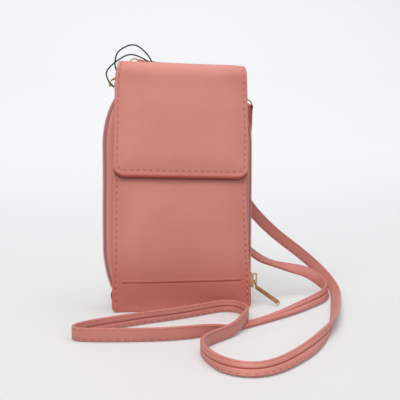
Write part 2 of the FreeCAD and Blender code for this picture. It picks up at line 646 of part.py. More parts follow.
for side, sign in sides.items():
    bar_middle = V(sign * size("tab_offset"), tab_y, size("tab_height"))
    tab = doc.addObject("Part::Feature", f"tab_{side}_loop")
    bar_room = Part.makeCylinder(size("ring_wire") + size("loop_room"),
                                 size("tab_width") + 2 * size("overrun"),
                                 V(0, -size("tab_width") / 2 - size("overrun"), 0), V(0, 1, 0))
    tab.Shape = looped_end(size("tab_layer"), size("ring_wire"), size("tab_width"),
                           size("tab_length"), size("tab_length") / 2,
                           tab_lean).cut(bar_room).Solids[0]
    tab.Placement = framed(bar_middle, V(0, 1, 0), V(0, 0, 1))
    finish(tab, f"tab_{side}")

    # D-ring: a bar through the tab and a bow
    up = V(0, math.sin(RING_TILT[side]), math.cos(RING_TILT[side]))
    wire, half, leg = size("ring_wire"), size("ring_half_width"), size("ring_leg")
    path = Part.Wire([
        Part.LineSegment(V(half, 0, wire), V(half, 0, leg)).toShape(),
        Part.Arc(V(half, 0, leg), V(0, 0, leg + half), V(-half, 0, leg)).toShape(),
        Part.LineSegment(V(-half, 0, leg), V(-half, 0, wire)).toShape()])
    bow = path.makePipeShell([Part.Wire([Part.Circle(V(half, 0, wire), V(0, 0, 1), wire).toShape()])],
                             True, False)
    corner = [Part.makeSphere(wire, V(x, 0, 0)) for x in (-half, half)]
    straight = Part.makeCylinder(wire, 2 * half, V(-half, 0, 0), V(1, 0, 0))
    stubs = [Part.makeCylinder(wire, wire, V(x, 0, 0), V(0, 0, 1)) for x in (-half, half)]
    ring = doc.addObject("Part::Feature", f"ring_{side}_wire")
    ring.Shape = straight.fuse(corner + stubs + [bow]).removeSplitter().Solids[0]
    ring.Placement = framed(bar_middle, V(1, 0, 0), up)
    finish(ring, f"ring_{side}")

    # Clasp: hook, body, sprung gate on a pin, and an eye that turns in the body
    along = HOOK_ALONG[side]
    hooked = (bar_middle + V(1, 0, 0) * (half * math.sin(along))
              + up * (leg + half * math.cos(along)))
    tangent = V(1, 0, 0) * math.cos(along) - up * math.sin(along)
    axis = V(EYE_WAY[side]).normalize() * -1
    clasp_frame = framed(hooked, axis.cross(tangent) * -1, axis)
    rod, reach = size("clasp_wire"), size("clasp_half_width")
    bend = wire + size("loop_room") + rod - reach
    foot = bend - size("clasp_leg")
    low = foot - size("clasp_body")
    nose = bend - size("gate_play")
    thick = size("clasp_thickness")
    hook_path = Part.Wire([
        Part.LineSegment(V(-reach, 0, foot - rod), V(-reach, 0, bend)).toShape(),
        Part.Arc(V(-reach, 0, bend), V(0, 0, bend + reach), V(reach, 0, bend)).toShape(),
        Part.LineSegment(V(reach, 0, bend), V(reach, 0, nose)).toShape()])
    hook_wire = hook_path.makePipeShell(
        [Part.Wire([Part.Circle(V(-reach, 0, foot - rod), V(0, 0, 1), rod).toShape()])],
        True, False)
    edge_x = reach + rod
    profile = [V(-edge_x, 0, foot), V(edge_x, 0, foot), V(edge_x, 0, foot - rod - rod),
               V(size("clasp_waist"), 0, low), V(-size("clasp_waist"), 0, low),
               V(-edge_x, 0, foot - rod - rod)]
    housing = Part.Face(Part.makePolygon(profile + profile[:1])).extrude(V(0, thick, 0))
    housing.translate(V(0, -thick / 2, 0))
    housing = housing.makeFillet(size("pull_round"), [e for e in housing.Edges
                                                      if e.BoundBox.YLength < EPS])
    gate_half = size("gate_width") / 2
    slot_half = gate_half + size("pin_fit") * 2
    slot_deep = size("gate_rise") + size("gate_foot") + size("gate_play")
    slot_in = reach - gate_half - size("gate_play") * 2
    slot = Part.makeBox(edge_x + size("overrun") - slot_in, 2 * slot_half, slot_deep + size("overrun"),
                        V(slot_in, -slot_half, foot - slot_deep))
    pin_z = foot - size("gate_rise")
    pin_hole = Part.makeCylinder(size("pin_radius"), thick, V(reach, -thick / 2, pin_z), V(0, 1, 0))
    bore = Part.makeCylinder(size("swivel_post") + size("pin_fit"), size("post_depth") + size("gate_play"),
                             V(0, 0, low), V(0, 0, 1))
    clasp = doc.addObject("Part::Feature", f"clasp_{side}_hook")
    clasp.Shape = housing.fuse(hook_wire).cut(Part.makeCompound([slot, bore])).cut(pin_hole).Solids[0]
    clasp.Placement = clasp_frame
    finish(clasp, f"clasp_{side}")

    pin = doc.addObject("Part::Cylinder", f"clasp_pin_{side}_rod")
    pin.setExpression("Radius", cell("pin_radius"))
    pin.setExpression("Height", cell("clasp_thickness"))
    pin.Placement = clasp_frame.multiply(framed(V(reach, -thick / 2, pin_z), V(1, 0, 0), V(0, 1, 0)))
    finish(pin, f"clasp_pin_{side}")

    gate_top = nose - size("gate_play")
    outline = [V(reach - gate_half, -gate_half, pin_z - size("gate_foot")),
               V(reach + gate_half, -gate_half, pin_z - size("gate_foot")),
               V(reach + gate_half, -gate_half, gate_top), V(reach - gate_half, -gate_half, gate_top)]
    lever = Part.Face(Part.makePolygon(outline + outline[:1])).extrude(V(0, size("gate_width"), 0))
    knob = Part.makeCylinder(gate_half, size("gate_knob") + gate_half,
                             V(reach, 0, (gate_top + pin_z) / 2), V(1, 0, 0))
    eye_hole = Part.makeCylinder(size("pin_radius") + size("pin_fit"),
                                 size("gate_width") + 2 * size("overrun"),
                                 V(reach, -gate_half - size("overrun"), pin_z), V(0, 1, 0))
    gate_solid = lever.fuse(knob).cut(eye_hole)
    gate = doc.addObject("Part::Feature", f"clasp_gate_{side}_lever")
    gate.Shape = gate_solid.Solids[0]
    gate.Placement = clasp_frame
    finish(gate, f"clasp_gate_{side}")

    eye_middle = hooked - axis * size("clasp_reach")
    eye_frame = framed(eye_middle, EYE_ACROSS[side], axis)
    flat_normal = eye_frame.Rotation.multVec(V(0, 1, 0))
    ring_top = size("eye_radius")
    hoop = Part.makeTorus(size("eye_radius"), size("eye_wire"), V(0, 0, 0), V(0, 1, 0))
    post_top = low + size("clasp_reach") + size("post_depth")
    post = Part.makeCylinder(size("swivel_post"), post_top - ring_top, V(0, 0, ring_top), V(0, 0, 1))
    collar_top = low + size("clasp_reach") - size("gate_play")
    collar = Part.makeCylinder(size("swivel_collar"), size("collar_height"),
                               V(0, 0, collar_top - size("collar_height")), V(0, 0, 1))
    eye = doc.addObject("Part::Feature", f"clasp_eye_{side}_hoop")
    eye.Shape = hoop.fuse([post, collar]).removeSplitter().Solids[0]
    eye.Placement = eye_frame
    finish(eye, f"clasp_eye_{side}")

    # Strap end: folded round the eye and riveted
    outward = V(EYE_HELD[side])
    outward = (outward - flat_normal * outward.dot(flat_normal)).normalize()
    wire_way = outward.cross(flat_normal).normalize()
    end_way = V(END_WAY[side])
    end_way = (end_way - wire_way * end_way.dot(wire_way)).normalize()
    held = eye_middle + outward * size("eye_radius")
    end_frame = framed(held, wire_way.cross(end_way * -1), end_way * -1)
    end = doc.addObject("Part::Feature", f"strap_end_{side}_fold")
    rivet_length = 2 * size("end_layer")
    stem = Part.makeCylinder(size("rivet_stem"), rivet_length,
                             V(-size("end_layer"), 0, -size("rivet_place")), V(1, 0, 0))
    folded = looped_end(size("end_layer"), size("eye_wire"), size("end_width"),
                        size("end_length"), size("end_neck"), 0.0).cut(stem)
    back_to_eye = end_frame.inverse()
    hoop_room = Part.makeTorus(size("eye_radius"), size("eye_wire") + size("loop_room"),
                               back_to_eye.multVec(eye_middle),
                               back_to_eye.Rotation.multVec(flat_normal))
    end.Shape = folded.cut(hoop_room).Solids[0]
    end.Placement = end_frame
    finish(end, f"strap_end_{side}")

    heads = [Part.makeCylinder(size("rivet_radius"), size("rivet_head"),
                               V(way * size("end_layer"), 0, -size("rivet_place")), V(way, 0, 0))
             for way in (-1, 1)]
    heads = [h.makeFillet(size("rivet_head") / 2, [
        e for e in h.Edges if abs(abs(e.BoundBox.Center.x) - size("end_layer") - size("rivet_head"))
        < EPS]) for h in heads]
    rivet = doc.addObject("Part::Feature", f"strap_rivet_{side}_body")
    rivet.Shape = stem.fuse(heads).removeSplitter().Solids[0]
    rivet.Placement = end_frame
    finish(rivet, f"strap_rivet_{side}")
    facts[side] = {
        "bar": bar_middle, "hooked": hooked, "axis": axis, "eye": eye_middle,
        "gate_pin": clasp_frame.multVec(V(reach, 0, pin_z)),
        "gate_axis": clasp_frame.Rotation.multVec(V(0, 1, 0)),
        "end": held + end_way * size("end_length"), "end_way": end_way,
        "wide": end_frame.Rotation.multVec(V(0, 1, 0)),
    }

# Strap: one flat band from the left end to the right end.
# Each point of its route has a direction that the band's width follows there.
UP = V(0, 0, 1)
start, stop = facts["left"], facts["right"]
FLOOR = 4.8
ROUTE = [
    (start["end"] + start["end_way"] * size("seam_gap"), start["wide"]),
    (V(4, 16.5, 179), V(0.3, 0, 0.95)),
    (V(11, 20, 170), V(0.75, 0, 0.66)), (V(17, 23, 156), V(0.92, 0, 0.4)),
    (V(23, 25, 140), V(0.94, 0, 0.35)), (V(31, 26.5, 122), V(0.92, 0, 0.4)),
    (V(41, 28, 104), V(0.87, 0, 0.49)), (V(52, 29.5, 86), V(0.83, 0, 0.55)),
    (V(64, 31, 69), V(0.75, 0, 0.66)), (V(83, 35, 50), V(0.66, 0, 0.75)),
    (V(104, 39.5, 33), V(0.5, 0, 0.86)), (V(119, 39, 20), V(0.3, 0, 0.95)),
    (V(129, 26, 10), UP), (V(130, 8, 5), UP), (V(123, -11, FLOOR), UP),
    (V(114, -36, FLOOR), UP), (V(105, -62, FLOOR), UP), (V(95, -89, FLOOR), UP),
    (V(83, -115, FLOOR), UP), (V(70, -138, FLOOR), UP), (V(55, -157, FLOOR), UP),
    (V(39, -172, FLOOR), UP), (V(24, -173, FLOOR), UP), (V(11, -160, FLOOR), UP),
    (V(4, -142, FLOOR), UP), (V(1, -124, FLOOR), UP), (V(5, -110, FLOOR), UP),
    (V(14, -99, FLOOR), UP), (V(22, -93, FLOOR), UP), (V(31, -85, 6), UP),
    (V(39, -75, 7.8), UP), (V(44.5, -63, 7.8), UP), (V(47, -49, 5.5), UP),
    (V(46.5, -37, FLOOR), UP), (V(40, -28, FLOOR), UP), (V(28, -29, FLOOR), UP),
    (V(12, -40, FLOOR), UP), (V(-6, -51, FLOOR), UP), (V(-26, -60, FLOOR), UP),
    (V(-47, -68, FLOOR), UP), (V(-64, -74, FLOOR), UP), (V(-75, -80, FLOOR), UP),
    (V(-77.5, -87, FLOOR), UP), (V(-71, -92, FLOOR), UP), (V(-58, -94.5, FLOOR), UP),
    (V(-38, -96.5, FLOOR), UP), (V(-16, -97, FLOOR), UP), (V(4, -93, FLOOR), UP),
    (V(19, -84, 3.6), V(0.4, -0.57, 0.72)), (V(31, -76, 1.6), V(0.62, -0.77, 0)),
    (V(43, -67, 1.6), V(0.62, -0.77, 0)), (V(56, -57, 1.6), V(0.62, -0.78, 0)),
    (V(70, -46, 3.6), V(0.44, -0.55, 0.7)), (V(84, -34, FLOOR), UP), (V(98, -20, FLOOR), UP),
    (V(109, -8, FLOOR), UP), (V(119, 8, 5.5), UP), (V(118, 19, 10), UP),
    (V(108, 26, 17), V(0, 0.3, 0.95)), (V(95, 27, 21), V(0.1, 0.6, 0.7)),
    (V(80, 26.5, 27), V(0.2, 0.9, 0.3)), (V(66, 25.5, 36), V(0.5, 0.3, 0.8)),
    (V(59, 25, 50), V(0.9, -0.1, 0.4)), (V(56.5, 24, 70), V(0.85, -0.45, 0.1)),
    (V(56.5, 22, 92), V(0.8, -0.6, 0)), (V(57.5, 19, 112), V(0.55, -0.83, 0)),
    (stop["end"] + stop["end_way"] * size("seam_gap"), stop["wide"]),
]
ARC_SHARE = 0.45
ARC_STEP_SHARES = (1 / 3, 2 / 3)


def rounded_route(points):
    """Straight runs joined by arcs, each as large as its two runs allow."""
    runs = [(b - a).Length for a, b in zip(points, points[1:])]
    path, radii = [], []
    last = points[0]
    for i in range(1, len(points) - 1):
        into = (points[i] - points[i - 1]).normalize()
        out = (points[i + 1] - points[i]).normalize()
        turn = math.acos(max(-1.0, min(1.0, into.dot(out))))
        back = ARC_SHARE * min(runs[i - 1], runs[i])
        radii.append(back / math.tan(turn / 2))
        first, second = points[i] - into * back, points[i] + out * back
        bulge = (out - into).normalize()
        centre = points[i] + bulge * (radii[-1] / math.cos(turn / 2))
        path.append((last, first, into))
        path.append((first, second, into, out, centre, bulge, radii[-1]))
        last = second
    path.append((last, points[-1], (points[-1] - points[-2]).normalize()))
    return path, radii


points = [p for p, _ in ROUTE]
wides = [w for _, w in ROUTE]
path, radii = rounded_route(points)
print("strap radii mm", [round(r, 1) for r in radii])
stations = []
for index, piece in enumerate(path):
    near = index // 2
    if len(piece) == 3:
        stations.append((piece[0], piece[2], near, ARC_SHARE if index else 0.0))
        continue
    first, second, into, out, centre, bulge, radius = piece
    stations.append((first, into, near, 1 - ARC_SHARE))
    for share in ARC_STEP_SHARES:
        way = (into * (1 - share) + out * share).normalize()
        spoke = ((first - centre) * (1 - share) + (second - centre) * share).normalize() * radius
        stations.append((centre + spoke, way, near, 1 - ARC_SHARE + ARC_SHARE * share))
stations.append((points[-1], path[-1][2], len(points) - 2, 1.0))
sections, length_sum, previous = [], 0.0, None
half_wide, half_deep = size("strap_width") / 2, size("strap_thickness") / 2
for point, way, near, share in stations:
    wide = wides[near] * (1 - share) + wides[min(near + 1, len(wides) - 1)] * share
    wide = (wide - way * wide.dot(way)).normalize()
    deep = way.cross(wide)
    if previous is not None:
        if (point - previous).Length < size("seam_room"):
            continue
        length_sum += (point - previous).Length
    previous = point
    corners = [point + wide * (a * half_wide) + deep * (b * half_deep)
               for a, b in ((-1, -1), (1, -1), (1, 1), (-1, 1))]
    sections.append(Part.makePolygon(corners + corners[:1]))
strap = doc.addObject("Part::Feature", "strap_band")
strap.Shape = Part.makeLoft(sections, True, True)
finish(strap, "strap")
print("strap length mm", round(length_sum, 1), "volume share",
      round(strap.Shape.Volume / (length_sum * size("strap_width") * size("strap_thickness")), 4))

# Hang loop: a thin elastic from the left ring, standing in two bows
CORD = [
    V(-48.6, -2.9, 166.6), V(-49.1, -3.1, 167.8), V(-50.7, -3, 169.2), V(-52, -2.4, 170.7),
    V(-53.5, -1, 174.1), V(-53.9, 0.3, 177.4), V(-52.2, 1, 180.7), V(-48.2, 1.5, 184.4),
    V(-45.5, 1.5, 186.4), V(-42.2, 1.5, 188.7), V(-38.2, 1.5, 190.7), V(-34.6, 1.5, 191.1),
    V(-30.6, 1.3, 190.1), V(-26.3, 1.2, 188.2), V(-22.3, 1, 185.8), V(-19.6, 0.7, 183.6),
    V(-16.6, 0.5, 180.9), V(-14, 0.2, 178.4), V(-12.2, -0.2, 175.6), V(-13.2, -0.6, 173.6),
    V(-15.2, -0.9, 174.8), V(-16.4, -1, 178), V(-18.2, -1.1, 182.2), V(-20.3, -1.1, 186.1),
    V(-22.4, -1.3, 190), V(-26.4, -1.5, 194.2), V(-30.3, -1.5, 197.1), V(-33.9, -1.5, 198),
    V(-37.6, -1.5, 197.4), V(-42.2, -1.5, 195), V(-45.2, -1.5, 192.4), V(-46.5, -1.4, 189.8),
    V(-47.2, -1.2, 186.5), V(-47.4, -0.6, 183), V(-46.6, 0.4, 180.1), V(-45.7, 2.2, 178.1),
    V(-46.5, 4.2, 176.6),
]
path, radii = rounded_route(CORD)
print("hang loop radii mm", [round(r, 1) for r in radii])
edges = []
for piece in path:
    if (piece[1] - piece[0]).Length < EPS:
        continue
    if len(piece) == 3:
        edges.append(Part.LineSegment(piece[0], piece[1]).toShape())
    else:
        first, second, into, out, centre, bulge, radius = piece
        edges.append(Part.Arc(first, centre - bulge * radius, second).toShape())
route = Part.Wire(edges)
ring_section = Part.Wire([Part.Circle(CORD[0], CORD[1] - CORD[0], size("cord_radius")).toShape()])
cord = doc.addObject("Part::Feature", "hang_loop_cord")
cord.Shape = route.makePipeShell([ring_section], True, False)
finish(cord, "hang_loop")
print("hang loop length mm", round(route.Length, 1), "volume share",
      round(cord.Shape.Volume / (route.Length * math.pi * size("cord_radius") ** 2), 4))

doc.recompute()
for obj in doc.Objects:
    if any(word in obj.State for word in ("Invalid", "Error")):
        raise RuntimeError(f"{obj.Name} failed: {obj.State}")
for obj in finished:
    if obj.Shape.isNull() or not obj.Shape.isValid() or not obj.Shape.Solids:
        raise RuntimeError(f"{obj.Label} has no valid solid")
for obj in finished:
    obj.Shape.exportStep(f"parts/{obj.Label}.step")
for side, fact in facts.items():
    print(side, {key: [round(c, 5) for c in value] for key, value in fact.items()})
pull_facts = {"span": span_middle, "far": link_far, "axis": pull_axis,
              "tip": link_far + pull_way * size("pull_length")}
print("pull", {key: [round(c, 5) for c in value] for key, value in pull_facts.items()})
print(len(finished), "pieces")
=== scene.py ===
"""Looks of the phone pouch: leather, stitching, zip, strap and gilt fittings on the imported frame."""

import math

import bmesh
import bpy
from bpy.props import FloatProperty, FloatVectorProperty, PointerProperty
from mathutils import Euler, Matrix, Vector, noise


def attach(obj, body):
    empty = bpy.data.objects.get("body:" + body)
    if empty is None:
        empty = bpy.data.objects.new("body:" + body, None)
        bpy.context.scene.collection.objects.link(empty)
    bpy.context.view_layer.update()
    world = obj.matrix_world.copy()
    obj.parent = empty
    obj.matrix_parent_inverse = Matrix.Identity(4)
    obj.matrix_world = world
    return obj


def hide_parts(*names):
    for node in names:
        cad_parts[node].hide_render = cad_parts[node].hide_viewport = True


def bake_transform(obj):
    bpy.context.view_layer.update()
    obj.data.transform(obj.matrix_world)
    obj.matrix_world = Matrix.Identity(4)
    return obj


bl_info = {
    "name": "Phone pouch",
    "version": (1, 0, 0),
    "blender": (4, 5, 0),
    "location": "3D View > Sidebar > Pouch",
    "description": "Builds the leather phone pouch, its zip, strap and fittings",
    "category": "Object",
}

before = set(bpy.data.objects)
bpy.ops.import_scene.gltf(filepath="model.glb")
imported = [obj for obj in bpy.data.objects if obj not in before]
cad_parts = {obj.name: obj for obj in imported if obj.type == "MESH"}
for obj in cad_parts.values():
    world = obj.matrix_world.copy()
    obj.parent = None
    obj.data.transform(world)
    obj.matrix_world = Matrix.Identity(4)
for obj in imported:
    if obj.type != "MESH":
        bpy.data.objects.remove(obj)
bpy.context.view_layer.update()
MM = 0.001


# Sizes and colours

def length_prop(name, description, millimetres):
    return FloatProperty(name=name, description=description, default=millimetres * MM, unit="LENGTH",
                         precision=5)


def colour_prop(name, description, rgb):
    return FloatVectorProperty(name=name, description=description, subtype="COLOR", size=3, min=0.0,
                               max=1.0, default=rgb)


class PouchSizes(bpy.types.PropertyGroup):
    flap_swell: length_prop("Flap swell", "How far the flap swells inside its stitching", 1.1)
    pocket_swell: length_prop("Pocket swell", "How far the pocket's front swells", 2.9)
    stitch_inset: length_prop("Stitch inset", "From the leather's edge to the stitches", 2.7)
    stitch_pitch: length_prop("Stitch pitch", "From one stitch to the next", 4.7)
    stitch_length: length_prop("Stitch length", "Length of one stitch", 2.3)
    stitch_width: length_prop("Thread width", "Thickness of the thread", 0.8)
    groove_depth: length_prop("Stitch groove", "How deep the stitches sink into the leather", 0.4)
    strap_pitch: length_prop("Strap stitch pitch", "From one strap stitch to the next", 5.4)
    strap_width: length_prop("Strap width", "Width of the flat strap", 9.0)
    strap_thickness: length_prop("Strap thickness", "Thickness of the strap", 2.4)
    tooth_pitch: length_prop("Zip pitch", "From one zip tooth to the next in a row", 1.6)
    cord_diameter: length_prop("Hang loop", "Diameter of the elastic hang loop", 1.1)


class PouchColours(bpy.types.PropertyGroup):
    leather: colour_prop("Leather", "Dusty rose leather", (0.650, 0.250, 0.203))
    # Painted shade: the leather's colour in creases, stitch grooves, seams and along edges.
    leather_deep: colour_prop("Leather folds", "Leather in creases and on cut edges",
                              (0.460, 0.070, 0.052))
    thread: colour_prop("Thread", "Sewing thread", (0.700, 0.325, 0.270))
    # Painted shade: the dark inside of the needle holes, also the deepest painted shade on the leather.
    needle_hole: colour_prop("Needle holes", "Leather inside the holes", (0.120, 0.022, 0.016))
    zip_coil: colour_prop("Zip coil", "Zip teeth", (0.740, 0.350, 0.355))
    zip_tape: colour_prop("Zip tape", "Woven tape of the zip", (0.480, 0.180, 0.180))
    # Painted shade: the zip's tail is near black, far darker than its tape, for the shade in the lower left
    # corner.
    zip_tail: colour_prop("Zip tail", "End of the tape at the lower left", (0.035, 0.025, 0.032))
    lining: colour_prop("Lining", "Woven lining", (0.380, 0.150, 0.130))
    gilt: colour_prop("Gilt metal", "Rings, clasps, slider and pull", (0.640, 0.470, 0.250))
    steel: colour_prop("Steel", "Magnet and the disc that it holds", (0.45, 0.45, 0.46))
    board: colour_prop("Board", "Stiffener in the flap", (0.42, 0.36, 0.30))
    elastic: colour_prop("Elastic", "Hang loop", (0.012, 0.016, 0.020))
    floor: colour_prop("Floor", "Studio floor", (0.625, 0.620, 0.610))


def sizes():
    return bpy.context.scene.pouch_sizes


def in_mm(name):
    """One of the lengths in millimetres."""
    return getattr(sizes(), name) / MM


def colours():
    return bpy.context.scene.pouch_colours


# Shader nodes

def connect(tree, node, values):
    """Set a node's inputs, or link those whose value is another node's output."""
    for key, value in values.items():
        if isinstance(value, bpy.types.NodeSocket):
            tree.links.new(value, node.inputs[key])
        else:
            node.inputs[key].default_value = value


def add_node(tree, kind, values=None, **settings):
    """A new node with its settings and then its inputs."""
    node = tree.nodes.new(kind)
    for key, value in settings.items():
        setattr(node, key, value)
    connect(tree, node, values or {})
    return node


def new_group(name, kind, inputs, outputs):
    """An empty node group with its sockets and its two end nodes."""
    tree = bpy.data.node_groups.new(name, kind)
    for way, sockets in (("INPUT", inputs), ("OUTPUT", outputs)):
        for label, socket in sockets.items():
            tree.interface.new_socket(label, in_out=way, socket_type="NodeSocket" + socket)
    return tree, tree.nodes.new("NodeGroupInput"), tree.nodes.new("NodeGroupOutput")


def object_place(tree):
    return add_node(tree, "ShaderNodeTexCoord").outputs["Object"]


def noise_at(tree, place, scale, detail):
    values = {"Vector": place, "Scale": scale, "Detail": detail}
    return add_node(tree, "ShaderNodeTexNoise", values).outputs["Fac"]


def calculate(tree, operation, *values):
    return add_node(tree, "ShaderNodeMath", dict(enumerate(values)), operation=operation).outputs[0]


def map_range(tree, value, to_min, to_max, from_min=0.0, from_max=1.0):
    values = {"Value": value, "From Min": from_min, "From Max": from_max, "To Min": to_min, "To Max": to_max}
    return add_node(tree, "ShaderNodeMapRange", values).outputs["Result"]


def mix_colour(tree, factor, first, second, blend="MIX"):
    values = {"Factor": factor, "A": first, "B": second}
    return add_node(tree, "ShaderNodeMix", values, data_type="RGBA", blend_type=blend).outputs["Result"]


def bump(tree, height, strength, distance):
    values = {"Height": height, "Strength": strength, "Distance": distance}
    return add_node(tree, "ShaderNodeBump", values).outputs["Normal"]


def leather_grain_group():
    """Fine pebble grain, slow changes of tone and painted shade, as deep as the painted shade attribute says.
    """
    name = "leather_grain"
    if name in bpy.data.node_groups:
        return bpy.data.node_groups[name]
    tree, start, end = new_group(
        name, "ShaderNodeTree",
        {"Colour": "Color", "Fold colour": "Color", "Dark colour": "Color", "Border": "Float",
         "Grain": "Float"},
        {"Colour": "Color", "Roughness": "Float", "Height": "Float"})
    place = object_place(tree)
    cells = add_node(tree, "ShaderNodeTexVoronoi", {"Vector": place, "Scale": start.outputs["Grain"]},
                     feature="SMOOTH_F1")
    fine = noise_at(tree, place, 900, 3)
    tone = map_range(tree, noise_at(tree, place, 22, 4), 0.93, 1.06, 0.3, 0.7)
    shade = mix_colour(tree, 1.0, start.outputs["Colour"], tone, "MULTIPLY")
    for low, high, label in ((0.0, 0.5, "Fold colour"), (0.5, 1.0, "Dark colour")):
        amount = map_range(tree, start.outputs["Border"], 0.0, 1.0, low, high)
        shade = mix_colour(tree, amount, shade, start.outputs[label])
    height = calculate(tree, "MULTIPLY_ADD", fine, 0.4, cells.outputs["Distance"])
    connect(tree, end, {"Colour": shade, "Roughness": map_range(tree, fine, 0.42, 0.58), "Height": height})
    return tree


def weave_group():
    """Plain weave: crossed threads."""
    name = "plain_weave"
    if name in bpy.data.node_groups:
        return bpy.data.node_groups[name]
    tree, start, end = new_group(name, "ShaderNodeTree", {"Colour": "Color", "Threads": "Float"},
                                 {"Colour": "Color", "Height": "Float"})
    values = {"Vector": object_place(tree), "Scale": start.outputs["Threads"]}
    threads = [add_node(tree, "ShaderNodeTexWave", values, bands_direction=way) for way in ("X", "Z")]
    crossed = calculate(tree, "MULTIPLY", *[wave.outputs["Fac"] for wave in threads])
    tone = map_range(tree, crossed, 0.7, 1.15)
    shade = mix_colour(tree, 1.0, start.outputs["Colour"], tone, "MULTIPLY")
    connect(tree, end, {"Colour": shade, "Height": crossed})
    return tree


# Materials

# Each weave's colour and the scale of its threads
WEAVES = {"lining_weave": ("lining", 1500.0), "tape_weave": ("zip_tape", 2200.0)}

# Each finish's colour, roughness, metalness, spread of tone, scale of its patches and bump
FINISHES = {
    "gilt_plate": ("gilt", 0.24, 1.0, 0.1, 260.0, 0.03),
    "sewing_thread": ("thread", 0.62, 0.0, 0.14, 2400.0, 0.3),
    "needle_hole": ("needle_hole", 0.8, 0.0, 0.2, 1800.0, 0.2),
    "coil_plastic": ("zip_coil", 0.4, 0.0, 0.15, 900.0, 0.05),
    "tail_tape": ("zip_tail", 0.7, 0.0, 0.2, 1800.0, 0.3),
    "loop_elastic": ("elastic", 0.6, 0.0, 0.3, 2600.0, 0.4),
    "steel_plate": ("steel", 0.35, 1.0, 0.1, 300.0, 0.04),
    "grey_board": ("board", 0.8, 0.0, 0.15, 400.0, 0.2),
}


def bare_material(name):
    """A new material and its shader, or the material made before and no shader."""
    if name in bpy.data.materials:
        return bpy.data.materials[name], None
    material = bpy.data.materials.new(name)
    material.use_nodes = True
    return material, next(n for n in material.node_tree.nodes if n.type == "BSDF_PRINCIPLED")


def leather(name="pouch_leather", tone_share=1.0, grain=1500.0):
    """Satin leather; the border attribute darkens it with painted shade in creases, stitch grooves and seams,
    along edges, on the flap's hem and towards the pocket's base.
    """
    material, shader = bare_material(name)
    if shader is None:
        return material
    tree = material.node_tree
    skin = add_node(tree, "ShaderNodeGroup", node_tree=leather_grain_group())
    connect(tree, skin, {
        "Colour": (*[c * tone_share for c in colours().leather], 1),
        "Fold colour": (*colours().leather_deep, 1),
        "Dark colour": (*colours().needle_hole, 1),
        "Border": add_node(tree, "ShaderNodeAttribute", attribute_name="border").outputs["Fac"],
        "Grain": grain})
    connect(tree, shader, {
        "Base Color": skin.outputs["Colour"], "Roughness": skin.outputs["Roughness"],
        "Specular IOR Level": 0.42, "Sheen Weight": 0.08,
        "Normal": bump(tree, skin.outputs["Height"], 0.12, 0.0002)})
    return material


def cloth(name):
    material, shader = bare_material(name)
    if shader is None:
        return material
    tree = material.node_tree
    colour, threads = WEAVES[name]
    woven = add_node(tree, "ShaderNodeGroup", node_tree=weave_group())
    connect(tree, woven, {"Colour": (*getattr(colours(), colour), 1), "Threads": threads})
    connect(tree, shader, {
        "Base Color": woven.outputs["Colour"], "Roughness": 0.85, "Sheen Weight": 0.2,
        "Normal": bump(tree, woven.outputs["Height"], 0.35, 0.0002)})
    return material


def finish(name):
    """A finish with small uneven patches: metal, plastic, thread, elastic or board."""
    material, shader = bare_material(name)
    if shader is None:
        return material
    tree = material.node_tree
    colour, roughness, metallic, spread_share, scale, bump_strength = FINISHES[name]
    patch = noise_at(tree, object_place(tree), scale, 4)
    ramp = add_node(tree, "ShaderNodeValToRGB", {"Fac": patch})
    tones = ((0.3, 1 - spread_share), (0.7, 1 + spread_share))
    for element, (position, tone_share) in zip(ramp.color_ramp.elements, tones):
        element.position = position
        element.color = (*[min(1, c * tone_share) for c in getattr(colours(), colour)], 1)
    connect(tree, shader, {
        "Base Color": ramp.outputs["Color"], "Metallic": metallic,
        "Roughness": map_range(tree, patch, roughness * 0.8, roughness * 1.25),
        "Normal": bump(tree, patch, bump_strength, 0.0001)})
    return material


# Mesh building

# Steps along an outline's level runs and its upright runs, and its least corner radius
ACROSS_STEPS, UPRIGHT_STEPS, LEAST_ROUND = 36, 56, 0.35

# Rings of a sewn panel, by their distance from its edge
INSET_STEPS = (0.0, 0.12, 0.3, 0.6, 1.0, 1.5, 1.9, 2.2, 2.45, 2.7, 2.95, 3.2, 3.6, 4.2, 5.0, 6.2,
               7.8, 10.0, 13.0, 16.5, 20.5, 25.0, 30.0, 35.5, 41.0)

# Painted shade: how far leather darkens on a cut edge that rounds away, in a stitch groove and inside it,
# where the swell turns away; and how far from the stitches the groove and its shade reach
EDGE_SHADE, GROOVE_SHADE, INNER_SHADE = 0.14, 0.16, 0.045
GROOVE_REACH, GROOVE_SHADE_REACH = 0.75, 0.55


def add_object(name, data):
    obj = bpy.data.objects.new(name, data)
    bpy.context.scene.collection.objects.link(obj)
    return obj


def make_object(name, points, faces, material, border=None):
    """A smooth mesh object; border says how far each point's leather is darkened with painted shade."""
    mesh = bpy.data.meshes.new(name)
    mesh.from_pydata([tuple(p) for p in points], [], faces)
    mesh.update()
    mesh.materials.append(material)
    if border is not None:
        layer = mesh.attributes.new("border", "FLOAT", "POINT")
        layer.data.foreach_set("value", border)
    mesh.polygons.foreach_set("use_smooth", [True] * len(mesh.polygons))
    mesh.validate()
    return add_object(name, mesh)


def outward(obj):
    work = bmesh.new()
    work.from_mesh(obj.data)
    bmesh.ops.recalc_face_normals(work, faces=work.faces)
    work.to_mesh(obj.data)
    work.free()
    return obj


def loft(name, rings, material, painted_shade_rings=None):
    """Skin closed rings of equal count, in order, with a cap at each end."""
    count = len(rings[0])
    points = [p for ring in rings for p in ring]
    faces = []
    for first in range(0, len(points) - count, count):
        for i in range(count):
            j = (i + 1) % count
            faces.append((first + i, first + j, first + count + j, first + count + i))
    faces.append(tuple(reversed(range(count))))
    faces.append(tuple(range(len(points) - count, len(points))))
    border = [value for ring in painted_shade_rings for value in ring] if painted_shade_rings else None
    return outward(make_object(name, points, faces, material, border))


def smooth_step(value, low, high):
    t = min(1.0, max(0.0, (value - low) / (high - low)))
    return t * t * (3 - 2 * t)


def fade(value, low, high):
    return 1 - smooth_step(value, low, high)


def bell(value, middle, reach):
    return math.exp(-((value - middle) / reach) ** 2)


